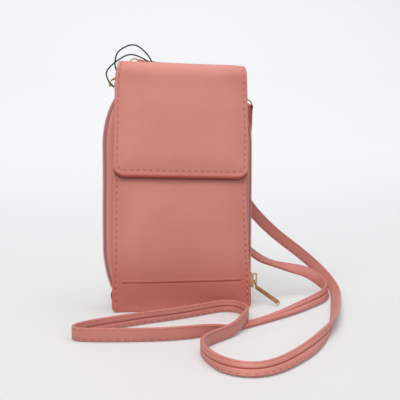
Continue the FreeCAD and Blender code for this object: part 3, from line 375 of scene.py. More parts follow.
def rounded_outline(low_width, top_width, low, top, low_round, top_round, inset, bend=10, top_rise=0.0,
                    left_low=None):
    """Outline points (x, z) in millimetres, anticlockwise from the bottom left, inset all round.
    The top corners are top_round wide and top_rise tall; left_low is the lower left one's width and
    height."""
    def half(z):
        return (low_width + (top_width - low_width) * (z - low) / (top - low)) / 2 - inset

    z0, z1 = low + inset, top - inset
    r0 = max(low_round - inset, LEAST_ROUND)
    r1 = max(top_round - inset, LEAST_ROUND)
    t1 = max((top_rise or top_round) - inset, LEAST_ROUND)
    w0, t0 = (max(value - inset, LEAST_ROUND) for value in left_low or (low_round, low_round))
    points = []

    def run(a, b, steps):
        for i in range(steps):
            f = i / steps
            points.append((a[0] + (b[0] - a[0]) * f, a[1] + (b[1] - a[1]) * f))

    def corner(cx, cz, wide, tall, first):
        for i in range(bend):
            angle = first + math.pi / 2 * i / bend
            points.append((cx + wide * math.cos(angle), cz + tall * math.sin(angle)))

    run((-half(z0) + w0, z0), (half(z0) - r0, z0), ACROSS_STEPS)
    corner(half(z0) - r0, z0 + r0, r0, r0, -math.pi / 2)
    run((half(z0 + r0), z0 + r0), (half(z1 - t1), z1 - t1), UPRIGHT_STEPS)
    corner(half(z1) - r1, z1 - t1, r1, t1, 0)
    run((half(z1) - r1, z1), (-half(z1) + r1, z1), ACROSS_STEPS)
    corner(-half(z1) + r1, z1 - t1, r1, t1, math.pi / 2)
    run((-half(z1 - t1), z1 - t1), (-half(z0 + t0), z0 + t0), UPRIGHT_STEPS)
    corner(-half(z0) + w0, z0 + t0, w0, t0, math.pi)
    return points


def open_run(outline, wanted):
    """Indices of the points whose height is wanted, in order from one end of their run to the other."""
    keep = [i for i, (_, z) in enumerate(outline) if wanted(z)]
    gap = next((n for n in range(len(keep) - 1) if keep[n + 1] != keep[n] + 1), len(keep) - 1)
    return keep[gap + 1:] + keep[:gap + 1]


def edge_shade(inset, edge=EDGE_SHADE):
    """Painted shade: how far leather darkens towards its cut edge, where it rounds away."""
    return edge * fade(inset, 0.0, 0.4 + 1.5 * edge)


def seam_shade(inset, stitch):
    """Painted shade: how far leather darkens in its stitch groove and a little inside it."""
    return GROOVE_SHADE * bell(inset, stitch, GROOVE_SHADE_REACH) + INNER_SHADE * fade(inset, 4, 18)


def sewn_profile(inset, half_thickness, edge_round, stitch=0.0, swell=0.0):
    """Height of a leather panel's face over its middle plane, at a distance from its edge."""
    height = half_thickness
    if inset < edge_round:
        height *= math.sqrt(max(0.0, 1 - (1 - inset / edge_round) ** 2))
    if stitch:
        height -= in_mm("groove_depth") * bell(inset, stitch, GROOVE_REACH)
        height += swell * smooth_step(inset, stitch + 0.2, stitch + 9.0)
    return height


def sewn_panel(name, outline, place, half_thickness, edge_round, material, middle=0.0, stitch=0.0,
               recess=0.0, low_edge_shade=EDGE_SHADE, tone=None):
    """A panel with a rounded edge, a stitch groove in front and a recess for the lining behind.
    Its lowest edge can have painted shade of its own, and tone adds painted shade to the front by height."""
    rings, shade = [], []
    steps = [(-1, inset) for inset in reversed(INSET_STEPS[1:])] + [(1, inset) for inset in INSET_STEPS]
    for face, inset in steps:
        height = middle + face * sewn_profile(inset, half_thickness, edge_round, stitch if face > 0 else 0.0)
        if face < 0:
            height += recess * smooth_step(inset, 2.4, 3.0)
        ring, dark = [], []
        for x, z in outline(inset):
            ring.append(place(x, z, height, inset))
            edge = low_edge_shade + (EDGE_SHADE - low_edge_shade) * smooth_step(z - inset, 1, 8)
            value = edge_shade(inset, edge)
            if face > 0 and stitch:
                value += seam_shade(inset, stitch)
            if face > 0 and tone:
                value += tone(z)
            dark.append(value)
        rings.append(ring)
        shade.append(dark)
    return loft(name, rings, material, shade)


def edge_band(name, outer, inner, run, depths, sunk_share, back_share, spread=lambda x, z: x):
    """A band along part of an outline. Its face sinks by a share of the way from outer to inner,
    its back lies at back_share of that way."""
    def point(i, y, share):
        (x0, z0), (x1, z1) = outer[i], inner[i]
        return Vector((spread(x0 + (x1 - x0) * share, z0), y, z0 + (z1 - z0) * share)) * MM

    rings = []
    for i in run:
        face = [point(i, y, sunk_share(k / (len(depths) - 1), outer[i][1])) for k, y in enumerate(depths)]
        rings.append(face + [point(i, y, back_share) for y in reversed(depths)])
    return loft(name, rings, leather())


def settle(piece, node):
    """Hide the solid that a piece stands for, and let the piece ride on the pouch."""
    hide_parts(node)
    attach(piece, "pouch")


# Geometry Nodes: beads along lines, for stitches and zip teeth

# In millimetres: a needle hole's size and depth, and the thread's rise over the leather
HOLE_SIZE, HOLE_SINK, THREAD_RISE = (1.0, 1.0, 1.6), -0.35, 0.10


def bead_tree():
    """Beads set along lines: long stitches or zip teeth, turned along the line."""
    name = "beads_along_lines"
    if name in bpy.data.node_groups:
        return bpy.data.node_groups[name]
    tree, start, end = new_group(
        name, "GeometryNodeTree",
        {"Geometry": "Geometry", "Pitch": "Float", "Bead size": "Vector", "Half step": "Int",
         "Material": "Material"},
        {"Geometry": "Geometry"})
    curve = add_node(tree, "GeometryNodeMeshToCurve", {"Mesh": start.outputs["Geometry"]})
    half_pitch = calculate(tree, "DIVIDE", start.outputs["Pitch"], 2.0)
    even = add_node(tree, "GeometryNodeResampleCurve", mode="LENGTH")
    connect(tree, even, {"Curve": curve.outputs["Curve"], "Length": half_pitch})
    number = add_node(tree, "GeometryNodeInputIndex").outputs["Index"]
    parity = add_node(tree, "FunctionNodeIntegerMath", {0: number, 1: 2}, operation="MODULO")
    chosen = add_node(tree, "FunctionNodeCompare", {2: parity.outputs[0], 3: start.outputs["Half step"]},
                      data_type="INT", operation="EQUAL")
    along = add_node(tree, "GeometryNodeInputTangent").outputs["Tangent"]
    turn = add_node(tree, "FunctionNodeAlignRotationToVector", {"Vector": along}, axis="Z")
    ball = add_node(tree, "GeometryNodeMeshIcoSphere", {"Radius": 0.5, "Subdivisions": 2})
    bead = add_node(tree, "GeometryNodeSetShadeSmooth", {"Geometry": ball.outputs["Mesh"]})
    spread = add_node(tree, "GeometryNodeInstanceOnPoints", {
        "Points": even.outputs["Curve"], "Selection": chosen.outputs["Result"],
        "Instance": bead.outputs["Geometry"], "Rotation": turn.outputs["Rotation"],
        "Scale": start.outputs["Bead size"]})
    real = add_node(tree, "GeometryNodeRealizeInstances", {"Geometry": spread.outputs["Instances"]})
    coloured = add_node(tree, "GeometryNodeSetMaterial", {
        "Geometry": real.outputs["Geometry"], "Material": start.outputs["Material"]})
    connect(tree, end, {"Geometry": coloured.outputs["Geometry"]})
    return tree


def beads(name, lines, pitch, bead_size, material, half_step=0):
    """Turn polylines into one mesh of beads, a pitch apart, begun half a pitch along if half_step is 1."""
    points, edges = [], []
    for line in lines:
        first = len(points)
        points.extend(line)
        edges.extend((first + i, first + i + 1) for i in range(len(line) - 1))
    mesh = bpy.data.meshes.new(name + "_lines")
    mesh.from_pydata([tuple(p) for p in points], edges, [])
    guide = add_object(name + "_guide", mesh)
    tree = bead_tree()
    modifier = guide.modifiers.new("beads", "NODES")
    modifier.node_group = tree
    values = {"Pitch": pitch, "Bead size": bead_size, "Half step": half_step, "Material": material}
    for item in tree.interface.items_tree:
        if item.in_out == "INPUT" and item.name in values:
            modifier[item.identifier] = values[item.name]
    bpy.context.view_layer.update()
    depsgraph = bpy.context.evaluated_depsgraph_get()
    made = bpy.data.meshes.new_from_object(guide.evaluated_get(depsgraph), depsgraph=depsgraph)
    made.name = name
    bpy.data.objects.remove(guide)
    if not made.polygons:
        raise RuntimeError(name + " has no beads")
    return add_object(name, made)


def stitches(name, lines_at, pitch=None, rise=THREAD_RISE):
    """Thread, and needle holes as dark beads of painted shade, along lines; lines_at gives them for a height
    over the leather.
    """
    s = sizes()
    pitch = pitch or s.stitch_pitch
    stitch_size = (s.stitch_width, s.stitch_width, s.stitch_length)
    hole_size = [size * MM for size in HOLE_SIZE]
    sewn = beads(name, lines_at(rise), pitch, stitch_size, finish("sewing_thread"))
    holes = beads(name + "_holes", lines_at(HOLE_SINK), pitch, hole_size, finish("needle_hole"), 1)
    return sewn, holes


# Flap, in millimetres; run is measured up from its lower edge, over the fold and down behind

FOLD_Y, FOLD_Z, FOLD_R = -12.9, 176.4, 8.1
FLAP_LOW, FLAP_FRONT, FLAP_ASIDE = 99.0, -21.0, 0.4
FLAP_WIDTH, FLAP_NARROWS, FLAP_LOW_ROUND, FLAP_TOP_ROUND = 100.8, 4.6, 8.0, 1.0
FLAP_TUCK, FLAP_UNSEWN = 3.0, 6.0
FLAP_DROP = FOLD_Z - FLAP_LOW
FLAP_LENGTH = FLAP_DROP + math.pi * FOLD_R + FLAP_TUCK
FLAP_MIDDLE, FLAP_HALF, FLAP_EDGE_ROUND, LINING_RECESS = -0.4, 1.4, 2.2, 0.8
HEM_DEPTH, HEM_SAG, HEM_RISE, HEM_SLOPE = 3.6, 1.4, 1.5, 1.2
STANDS_OFF, DRAWN_LEFT, DRAWN_RIGHT, TOP_SLOPE = 1.1, 2.2, 1.1, 3.1
# Painted shadow on the hem's lower edge, as if shaded under it, and painted shade on the fold's top against
# its highlight.
HEM_SHADOW, TOP_SHADE, UNEVEN = 1.0, 0.05, 0.35


def flap_outline(inset):
    """The flap laid flat, with a deeper hem along its lower edge than along its sides."""
    top_width = FLAP_WIDTH - FLAP_NARROWS * FLAP_LENGTH / FLAP_DROP
    low = (HEM_DEPTH * min(1.0, inset / in_mm("stitch_inset")) - HEM_SAG) * fade(inset, 6, 41)
    return rounded_outline(FLAP_WIDTH, top_width, low, FLAP_LENGTH, FLAP_LOW_ROUND, FLAP_TOP_ROUND, inset)


def flap_place(x, run, height, inset):
    """A point of the flap. Its lower part stands off the pocket, its upper left and lower right are
    drawn in, its top slopes down to the right and its hem a little less."""
    off = STANDS_OFF * fade(run, 0, 45)
    x += DRAWN_LEFT * smooth_step(run, 71, 90) * smooth_step(-x, 20, 46)
    x -= DRAWN_RIGHT * fade(run, 0, 40) * smooth_step(x, 10, 48)
    tilt = -TOP_SLOPE * (x + 47.0) / 94.0 * smooth_step(run, 30, 85)
    tilt += (HEM_RISE - HEM_SLOPE * x / 45.0) * fade(run, 5, 70)
    if height > 0:
        height += in_mm("flap_swell") * fade(run, FLAP_DROP - 28, FLAP_DROP - 4) * smooth_step(inset, 2.9, 13)
    height += UNEVEN * noise.noise(Vector((x * 0.03, run * 0.03, 3.0))) * smooth_step(inset, 3, 12)
    angle = (run - FLAP_DROP) / FOLD_R
    if angle <= 0:
        y, z = FLAP_FRONT - height - off, FLAP_LOW + run
    elif angle <= math.pi:
        radius = FOLD_R + height
        y, z = FOLD_Y - radius * math.cos(angle), FOLD_Z + radius * math.sin(angle)
    else:
        y, z = FOLD_Y + FOLD_R + height, FOLD_Z - (run - FLAP_DROP - math.pi * FOLD_R)
    return Vector((x + FLAP_ASIDE, y, z + tilt)) * MM


class POUCH_OT_flap(bpy.types.Operator):
    """Flap with its fold: padded leather, stitched round three sides"""
    bl_idname = "pouch.flap"
    bl_label = "Flap"

    def execute(self, context):
        stitch = in_mm("stitch_inset")
        # The hem's lower edge takes painted shadow, the fold's top painted shade.
        flap = sewn_panel("flap_skin", flap_outline, flap_place, FLAP_HALF, FLAP_EDGE_ROUND, leather(),
                          FLAP_MIDDLE, stitch, LINING_RECESS, HEM_SHADOW,
                          tone=lambda run: TOP_SHADE * smooth_step(run, 66, 80))
        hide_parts("flap_leather", "flap_fold")
        outline = flap_outline(stitch)
        row = [outline[i] for i in open_run(outline, lambda run: run < FLAP_LENGTH - FLAP_UNSEWN)]

        def lines_at(height):
            groove = FLAP_MIDDLE + FLAP_HALF - in_mm("groove_depth") + height
            return [[flap_place(x, run, groove, stitch) for x, run in row]]

        for piece in (flap, *stitches("flap_stitches", lines_at)):
            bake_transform(piece)
        return {"FINISHED"}


# Phone pocket, in millimetres

POCKET_WIDTH, POCKET_TOP_WIDTH, POCKET_TALL = 103.0, 97.5, 158.0
BACK_TOP_WIDTH, BACK_TALL = 94.5, FOLD_Z
POCKET_ROUND, TOP_ROUND, POCKET_HALF = 4.5, 0.6, 0.7
POCKET_FRONT_Y, POCKET_BACK_Y = -18.1, -4.5
GUSSET_FRONT_Y, GUSSET_DEEP, GUSSET_THICK, GUSSET_TOP = -17.5, 12.2, 1.2, 157.0
GUSSET_BACK_SHARE, BAND_STEPS = 1.6, 8
CREASE_Z, CREASE_HALF, CREASE_SINK, CREASE_LIP = 22.3, 44.5, 0.45, 0.25
# Painted shade in the crease, a little over the whole front, and more towards the base, where the front turns
# down.
SEAM_SWELL, CREASE_SHADE, FACE_SHADE, BASE_SHADE = 0.3, 0.55, 0.03, 0.19

# Share of the pocket's swell at each height
BULGE_SHARES = [(0, 0.0), (4, 0.12), (12, 0.42), (22, 0.72), (34, 0.9), (54, 1.0), (72, 0.82), (86, 0.4),
                (95, 0.08), (100, 0.0), (158, 0.0)]


def pocket_outline(inset, top_width=POCKET_TOP_WIDTH, tall=POCKET_TALL):
    return rounded_outline(POCKET_WIDTH, top_width, 0.0, tall, POCKET_ROUND, TOP_ROUND, inset)


def bulge_at(z):
    """Share of the pocket's swell at a height, straight between the listed heights."""
    for (z0, share0), (z1, share1) in zip(BULGE_SHARES, BULGE_SHARES[1:]):
        if z <= z1:
            return share0 + (share1 - share0) * (z - z0) / (z1 - z0)
    return 0.0


def crease_share(x):
    """The crease runs across the front and ends before its stitches."""
    return smooth_step(CREASE_HALF - abs(x), 0.0, 1.5)


def flared(x, z):
    """The pocket spreads towards its base, more to the right, and narrows there towards the flap."""
    spread, narrow = (1.8, 0.9) if x > 0 else (0.5, 0.0)
    wider = spread * fade(z, 0, 70) - narrow * smooth_step(z, 45, 100)
    return x + math.copysign(smooth_step(abs(x), 0, 50), x) * wider


def pocket_place(x, z, height, inset):
    """The pocket's front: full below the flap, drawn in towards the base, creased near it."""
    steps = (-6, -3, 0, 3, 6) if 6 < z < 150 else (0,)
    swell_share = sum(bulge_at(z + step) for step in steps) / len(steps)
    swell = swell_share * in_mm("pocket_swell") * smooth_step(inset, 0.5, 26)
    if z < FLAP_LOW - 1:
        swell += UNEVEN * noise.noise(Vector((x * 0.03, z * 0.025, 9.0))) * smooth_step(inset, 3, 14)
    lip = CREASE_LIP * bell(z, CREASE_Z + 1.3, 0.8) - CREASE_SINK * bell(z, CREASE_Z, 0.4)
    swell += crease_share(x) * lip
    return Vector((flared(x, z), POCKET_FRONT_Y - height - swell, z)) * MM


def pocket_front(stitch):
    """Pocket front as a fine upright grid, so that the crease keeps its line."""
    column_shares = [math.sin(math.pi / 2 * (-1 + 2 * i / 84)) for i in range(85)]
    rows = ([0.15, 0.4, 0.8, 1.3, 2.0, 2.7, 3.4, 4.4] + [5 + 1.5 * i for i in range(10)]
            + [19 + 0.3 * i for i in range(24)] + [27 + 2.4 * i for i in range(54)] + [156.5, 157.2, 157.7])

    def half_at(z):
        half = (POCKET_WIDTH - (POCKET_WIDTH - POCKET_TOP_WIDTH) * z / POCKET_TALL) / 2
        if z < POCKET_ROUND:
            half -= POCKET_ROUND - math.sqrt(max(0.0, POCKET_ROUND ** 2 - (POCKET_ROUND - z) ** 2))
        return half

    points, border, grid = [], [], {}
    for face in (1, -1):
        for r, z in enumerate(rows):
            half = half_at(z)
            for c, share in enumerate(column_shares):
                if face < 0 and c in (0, len(column_shares) - 1):
                    grid[face, r, c] = grid[1, r, c]
                    continue
                x = half * share
                side = half - abs(x)
                inset = max(0.0, min(side, z, POCKET_TALL - z))
                sewn = stitch if face > 0 and z > 5 else 0.0
                height = face * sewn_profile(inset, POCKET_HALF, POCKET_HALF, sewn, SEAM_SWELL)
                grid[face, r, c] = len(points)
                points.append(pocket_place(x, z, height, inset))
                # Painted shade on the edge, in the stitch groove, in the crease, over the front and more
                # towards its base.
                dark = edge_shade(inset) + seam_shade(side, stitch)
                dark += CREASE_SHADE * crease_share(x) * bell(z, CREASE_Z, 0.34)
                dark += FACE_SHADE + BASE_SHADE * fade(z, 14, 54)
                border.append(min(1.0, dark))
    faces = []
    for c in range(len(column_shares) - 1):
        for r in range(len(rows) - 1):
            faces.append((grid[1, r, c], grid[1, r, c + 1], grid[1, r + 1, c + 1], grid[1, r + 1, c]))
            faces.append((grid[-1, r, c], grid[-1, r + 1, c], grid[-1, r + 1, c + 1], grid[-1, r, c + 1]))
        for r in (0, len(rows) - 1):
            ring = (grid[1, r, c], grid[-1, r, c], grid[-1, r, c + 1], grid[1, r, c + 1])
            faces.append(tuple(dict.fromkeys(ring)))
    return outward(make_object("pocket_front_leather", points, faces, leather(), border))


def gusset_share(way, z):
    """How far the gusset's face sinks between front and back, less at the base."""
    return (0.25 + 0.9 * math.sin(math.pi * way) * (1 if z > 3 else 0.2)) / GUSSET_THICK


class POUCH_OT_pocket(bpy.types.Operator):
    """Phone pocket: front panel, gusset and back panel"""
    bl_idname = "pouch.pocket"
    bl_label = "Phone pocket"

    def execute(self, context):
        stitch = in_mm("stitch_inset")
        sides = [[(x, z) for x, z in pocket_outline(stitch) if x * side > 46 and 4 < z < 156]
                 for side in (1, -1)]

        def lines_at(height):
            groove = POCKET_HALF - in_mm("groove_depth") + height
            return [[pocket_place(x, z, groove, stitch) for x, z in row] for row in sides]

        def back_place(x, z, height, inset):
            return Vector((flared(x, z), POCKET_BACK_Y - height, z)) * MM

        settle(pocket_front(stitch), "pocket_front")
        back = sewn_panel("pocket_back_leather",
                          lambda inset: pocket_outline(inset, BACK_TOP_WIDTH, BACK_TALL),
                          back_place, POCKET_HALF, POCKET_HALF, leather())
        settle(back, "pocket_back")
        outer = pocket_outline(0.0)
        depths = [GUSSET_FRONT_Y + GUSSET_DEEP * i / BAND_STEPS for i in range(BAND_STEPS + 1)]
        gusset = edge_band("pocket_gusset_leather", outer, pocket_outline(GUSSET_THICK),
                           open_run(outer, lambda z: z < GUSSET_TOP), depths, gusset_share,
                           GUSSET_BACK_SHARE, flared)
        settle(gusset, "pocket_gusset")
        for piece in stitches("pocket_stitches", lines_at):
            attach(piece, "pouch")
        return {"FINISHED"}


# Wallet, in millimetres

WALLET_WIDTH, WALLET_TALL = 111.0, 166.0
WALLET_LOW_ROUND, WALLET_TOP_ROUND, WALLET_TOP_RISE, WALLET_LEFT_LOW = 15.0, 22.0, 44.0, (19.3, 44.0)
FULL_LEFT, DRAWN_IN_RIGHT, SHELL_SHARE = 0.7, 0.8, 0.977
ZIP_MIDDLE, MOUTH_AWAY, SHELL_DEEP, SHELL_THICK = 6.0, 3.4, 6.4, 1.6
LINING_AWAY, LINING_INSET, LINING_HALF, LINING_ROUND = 7.8, 1.9, 0.4, 0.3
STRIP_HALF, STRIP_TOP, STRIP_SINK_SHARE = 3.5, 9.0, 0.5

# Shells from their inner face round the mouth to the outer one: distance from the edge, and depth
SHELL_WALL = [(8.0, 1.6), (2.0, 1.6), (1.6, 2.0), (1.6, 6.0), (1.3, 6.35), (0.5, 6.4), (0.1, 6.2),
              (-0.05, 5.6), (-0.1, 4.6), (0.0, 3.4), (0.2, 2.3), (0.6, 1.3), (1.2, 0.5), (1.8, 0.12),
              (2.4, 0.06)]
PLAIN_FACE = [(5.0, 0.0), (9.0, 0.0)]
SEWN_FACE = [(2.7, 0.40), (3.0, 0.3), (3.4, 0.02), (4.2, -0.12), (5.6, -0.32), (8.0, -0.6), (12.0, -0.85),
             (18.0, -1.0), (26.0, -1.05), (36.0, -1.05), (46.0, -1.05)]


def wallet_outline(inset):
    """The wallet from the front, slumped a little: full at the lower left, drawn in at the upper right."""
    slumped = []
    for x, z in rounded_outline(WALLET_WIDTH, WALLET_WIDTH, 0.0, WALLET_TALL, WALLET_LOW_ROUND,
                                WALLET_TOP_ROUND, inset, 20, WALLET_TOP_RISE, WALLET_LEFT_LOW):
        full = FULL_LEFT * smooth_step(-x, 10, 45) * smooth_step(z, 20, 45) * fade(z, 60, 110)
        drawn = DRAWN_IN_RIGHT * smooth_step(x, 10, 45) * smooth_step(z, 135, 150)
        slumped.append((x - full - drawn, z))
    return slumped


def shell_outline(inset):
    """The wallet's shells, a little narrower than the zip between them."""
    return [(x * SHELL_SHARE, z) for x, z in wallet_outline(inset)]


def wallet_shell(half, way, face):
    """One shell, open towards the zip; the back one has painted shade along its edge and stitches."""
    stitch = in_mm("stitch_inset")
    rings, shade = [], []
    for inset, depth in SHELL_WALL + face:
        y = ZIP_MIDDLE + way * (MOUTH_AWAY + SHELL_DEEP - depth)
        rings.append([Vector((x, y, z)) * MM for x, z in shell_outline(inset)])
        dark = edge_shade(inset) + seam_shade(inset, stitch) if way > 0 and depth < 0.5 else 0.0
        shade.append([dark] * len(rings[0]))
    return loft(f"wallet_{half}_leather", rings, leather(), shade)


def wallet_lining(half, way):
    """The lining inside one shell."""
    y = ZIP_MIDDLE + way * LINING_AWAY
    return sewn_panel(f"{half}_lining_cloth", lambda inset: shell_outline(inset + LINING_INSET),
                      lambda x, z, height, inset: Vector((x, y - height, z)) * MM, LINING_HALF, LINING_ROUND,
                      cloth("lining_weave"))


class POUCH_OT_wallet(bpy.types.Operator):
    """Zip-around wallet: two lined leather shells and the strip below the zip's ends"""
    bl_idname = "pouch.wallet"
    bl_label = "Wallet"

    def execute(self, context):
        for half, way, face in (("front", -1, PLAIN_FACE), ("back", 1, SEWN_FACE)):
            settle(wallet_shell(half, way, face), f"{half}_shell")
        row = shell_outline(in_mm("stitch_inset"))
        groove = ZIP_MIDDLE + MOUTH_AWAY + SHELL_DEEP - in_mm("groove_depth")

        def lines_at(height):
            return [[Vector((x, groove + height, z)) * MM for x, z in row + row[:1]]]

        for piece in stitches("wallet_stitches", lines_at):
            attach(piece, "pouch")
        for half, way in (("front", -1), ("back", 1)):
            settle(wallet_lining(half, way), f"{half}_lining")
        outer = shell_outline(0.0)
        depths = [ZIP_MIDDLE + STRIP_HALF * (2 * i / BAND_STEPS - 1) for i in range(BAND_STEPS + 1)]
        strip = edge_band("base_strip_leather", outer, shell_outline(SHELL_THICK),
                          open_run(outer, lambda z: z < STRIP_TOP), depths,
                          lambda way, z: STRIP_SINK_SHARE * math.sin(math.pi * way), 1.0)
        settle(strip, "base_strip")
        return {"FINISHED"}


# Zip, in millimetres

# A tape's section: distance from the zip's middle, and inset from the wallet's outline
TAPE_SECTION = [(3.6, 1.5), (3.0, 0.9), (2.2, -0.2), (1.4, -0.9), (0.75, -1.15), (0.45, -0.95), (0.45, -0.45),
                (0.8, -0.6), (1.5, -0.3), (2.3, 0.4), (3.0, 1.45), (3.6, 2.0)]
TAPE_END, TEETH_END, TEETH_INSET, TEETH_AWAY = 10.0, 13.0, -1.15, 1.25
TOOTH_SIZE = (1.9, 1.9, 0.95)
TAIL_ROUTE = [(-46.5, 14.0), (-49.5, 12.6), (-51.4, 11.0), (-52.0, 8.6), (-51.8, 6.6), (-51.6, 5.4)]
TAIL_SECTION = [(-0.4, -2.2), (0.4, -2.2), (0.5, 0), (0.4, 2.2), (-0.4, 2.2), (-0.5, 0)]
TAIL_Y, TAIL_LEAN = ZIP_MIDDLE - 1.0, 0.6


class POUCH_OT_zip(bpy.types.Operator):
    """Zip: two bowed tapes, a row of teeth along the edge of each and the tail at the lower left"""
    bl_idname = "pouch.zip"
    bl_label = "Zip"

    def execute(self, context):
        section = [(away, wallet_outline(inset)) for away, inset in TAPE_SECTION]
        run = open_run(wallet_outline(0.0), lambda z: z > TAPE_END)
        teeth_outline = wallet_outline(TEETH_INSET)
        teeth = [teeth_outline[i] for i in run if teeth_outline[i][1] > TEETH_END]
        tooth_size = [size * MM for size in TOOTH_SIZE]
        for half, way, step in (("front", -1, 0), ("back", 1, 1)):
            rings = [[Vector((outline[i][0], ZIP_MIDDLE + way * away, outline[i][1])) * MM
                      for away, outline in section] for i in run]
            tape = loft(f"zip_tape_{half}_cloth", rings, cloth("tape_weave"))
            settle(tape, f"zip_tape_{half}")
            line = [Vector((x, ZIP_MIDDLE + way * TEETH_AWAY, z)) * MM for x, z in teeth]
            coil = beads(f"zip_coil_{half}", [line], sizes().tooth_pitch, tooth_size,
                         finish("coil_plastic"), step)
            settle(coil, f"zip_teeth_{half}")
        # The tail's near-black finish is painted shade in the lower left corner.
        rings = [[Vector((x + a, TAIL_Y + b, z + TAIL_LEAN * a)) * MM for a, b in TAIL_SECTION]
                 for x, z in TAIL_ROUTE]
        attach(loft("zip_tail", rings, finish("tail_tape")), "pouch")
        return {"FINISHED"}


# Strap and hang loop: routes in metres. They follow the routes in the part's source, with some of the
# strap's points moved and one added after the photo. Each of its points has the direction of its width.

UP = (0, 0, 1)
STRAP_ROUTE = [
    ((-0.0053524, 0.0136632, 0.1805547), (0.117, 0.155, 0.981)), ((0.004, 0.0165, 0.179), (0.3, 0, 0.95)),
    ((0.011, 0.02, 0.17), (0.75, 0, 0.66)), ((0.017, 0.023, 0.156), (0.92, 0, 0.4)),
    ((0.023, 0.025, 0.14), (0.94, 0, 0.35)), ((0.031, 0.0265, 0.122), (0.92, 0, 0.4)),
    ((0.041, 0.028, 0.104), (0.87, 0, 0.49)), ((0.052, 0.0295, 0.0845), (0.83, 0, 0.55)),
    ((0.064, 0.031, 0.067), (0.75, 0, 0.66)), ((0.083, 0.035, 0.0487), (0.66, 0, 0.75)),
    ((0.104, 0.0395, 0.033), (0.5, 0, 0.86)), ((0.119, 0.039, 0.02), (0.3, 0, 0.95)),
    ((0.127, 0.026, 0.0105), (0.35, 0.2, 0.91)), ((0.1272, 0.008, 0.0047), (0.7, 0.1, 0.7)),
    ((0.1213, -0.011, 0.0038), (0.75, -0.27, 0.6)), ((0.1138, -0.036, 0.0042), (0.68, -0.22, 0.69)),
    ((0.1055, -0.062, 0.0045), (0.6, -0.2, 0.77)), ((0.096, -0.088, 0.0049), (0.3, -0.12, 0.95)),
    ((0.084, -0.111, 0.0048), (-0.15, 0.08, 0.98)), ((0.072, -0.131, 0.0046), (-0.45, 0.32, 0.83)),
    ((0.057, -0.151, 0.0043), (-0.5, 0.5, 0.7)), ((0.039, -0.17, 0.0043), (-0.25, 0.62, 0.74)),
    ((0.024, -0.1748, 0.0044), (0, 0.6, 0.8)), ((0.011, -0.1665, 0.0046), (0.22, 0.42, 0.88)),
    ((0.004, -0.151, 0.0048), UP),
    ((0.001, -0.129, 0.0048), UP), ((0.005, -0.116, 0.0048), UP), ((0.014, -0.105, 0.0048), UP),
    ((0.022, -0.098, 0.0048), UP), ((0.031, -0.088, 0.006), UP), ((0.037, -0.076, 0.0078), UP),
    ((0.042, -0.063, 0.0078), UP), ((0.0445, -0.049, 0.0055), UP), ((0.044, -0.036, 0.0048), UP),
    ((0.0385, -0.0265, 0.0048), UP), ((0.028, -0.0255, 0.0048), UP), ((0.012, -0.035, 0.0048), UP),
    ((-0.006, -0.0445, 0.0048), UP), ((-0.026, -0.052, 0.0048), UP), ((-0.047, -0.062, 0.0048), UP),
    ((-0.064, -0.07, 0.0048), UP), ((-0.0762, -0.079, 0.0048), UP), ((-0.0785, -0.087, 0.0048), UP),
    ((-0.0725, -0.092, 0.0048), UP), ((-0.058, -0.0945, 0.0048), UP), ((-0.038, -0.0965, 0.0048), UP),
    ((-0.016, -0.097, 0.0048), UP), ((0.004, -0.093, 0.0048), UP),
    ((0.019, -0.084, 0.0036), (0.4, -0.57, 0.72)), ((0.031, -0.076, 0.0016), (0.62, -0.77, 0)),
    ((0.043, -0.067, 0.0016), (0.62, -0.77, 0)), ((0.056, -0.057, 0.0016), (0.62, -0.78, 0)),
    ((0.07, -0.046, 0.0022), (0.62, -0.76, -0.12)), ((0.084, -0.034, 0.003), (0.6, -0.7, -0.38)),
    ((0.098, -0.02, 0.004), (0.52, -0.58, -0.63)), ((0.11, -0.008, 0.0047), (0.4, -0.4, -0.82)),
    ((0.1205, 0.008, 0.0057), (0.2, -0.1, -0.97)), ((0.1195, 0.019, 0.0105), (0, -0.1, -1)),
    ((0.108, 0.026, 0.0185), (-0.1, -0.4, -0.9)), ((0.095, 0.027, 0.0215), (-0.15, -0.75, -0.65)),
    ((0.08, 0.0265, 0.0254), (-0.2, -0.96, -0.15)), ((0.067, 0.0262, 0.031), (-0.3, -0.85, -0.42)),
    ((0.056, 0.026, 0.0405), (-0.35, -0.85, -0.3)), ((0.0495, 0.0257, 0.053), (-0.1, -0.97, -0.1)),
    ((0.048, 0.0252, 0.071), (0.1, -0.97, -0.1)), ((0.05, 0.0242, 0.092), (0.15, -0.97, -0.15)),
    ((0.0543, 0.0221, 0.113), (0.2, -0.96, -0.17)),
    ((0.0564101, 0.0189671, 0.1289756), (0.25, -0.953, -0.176)),
]
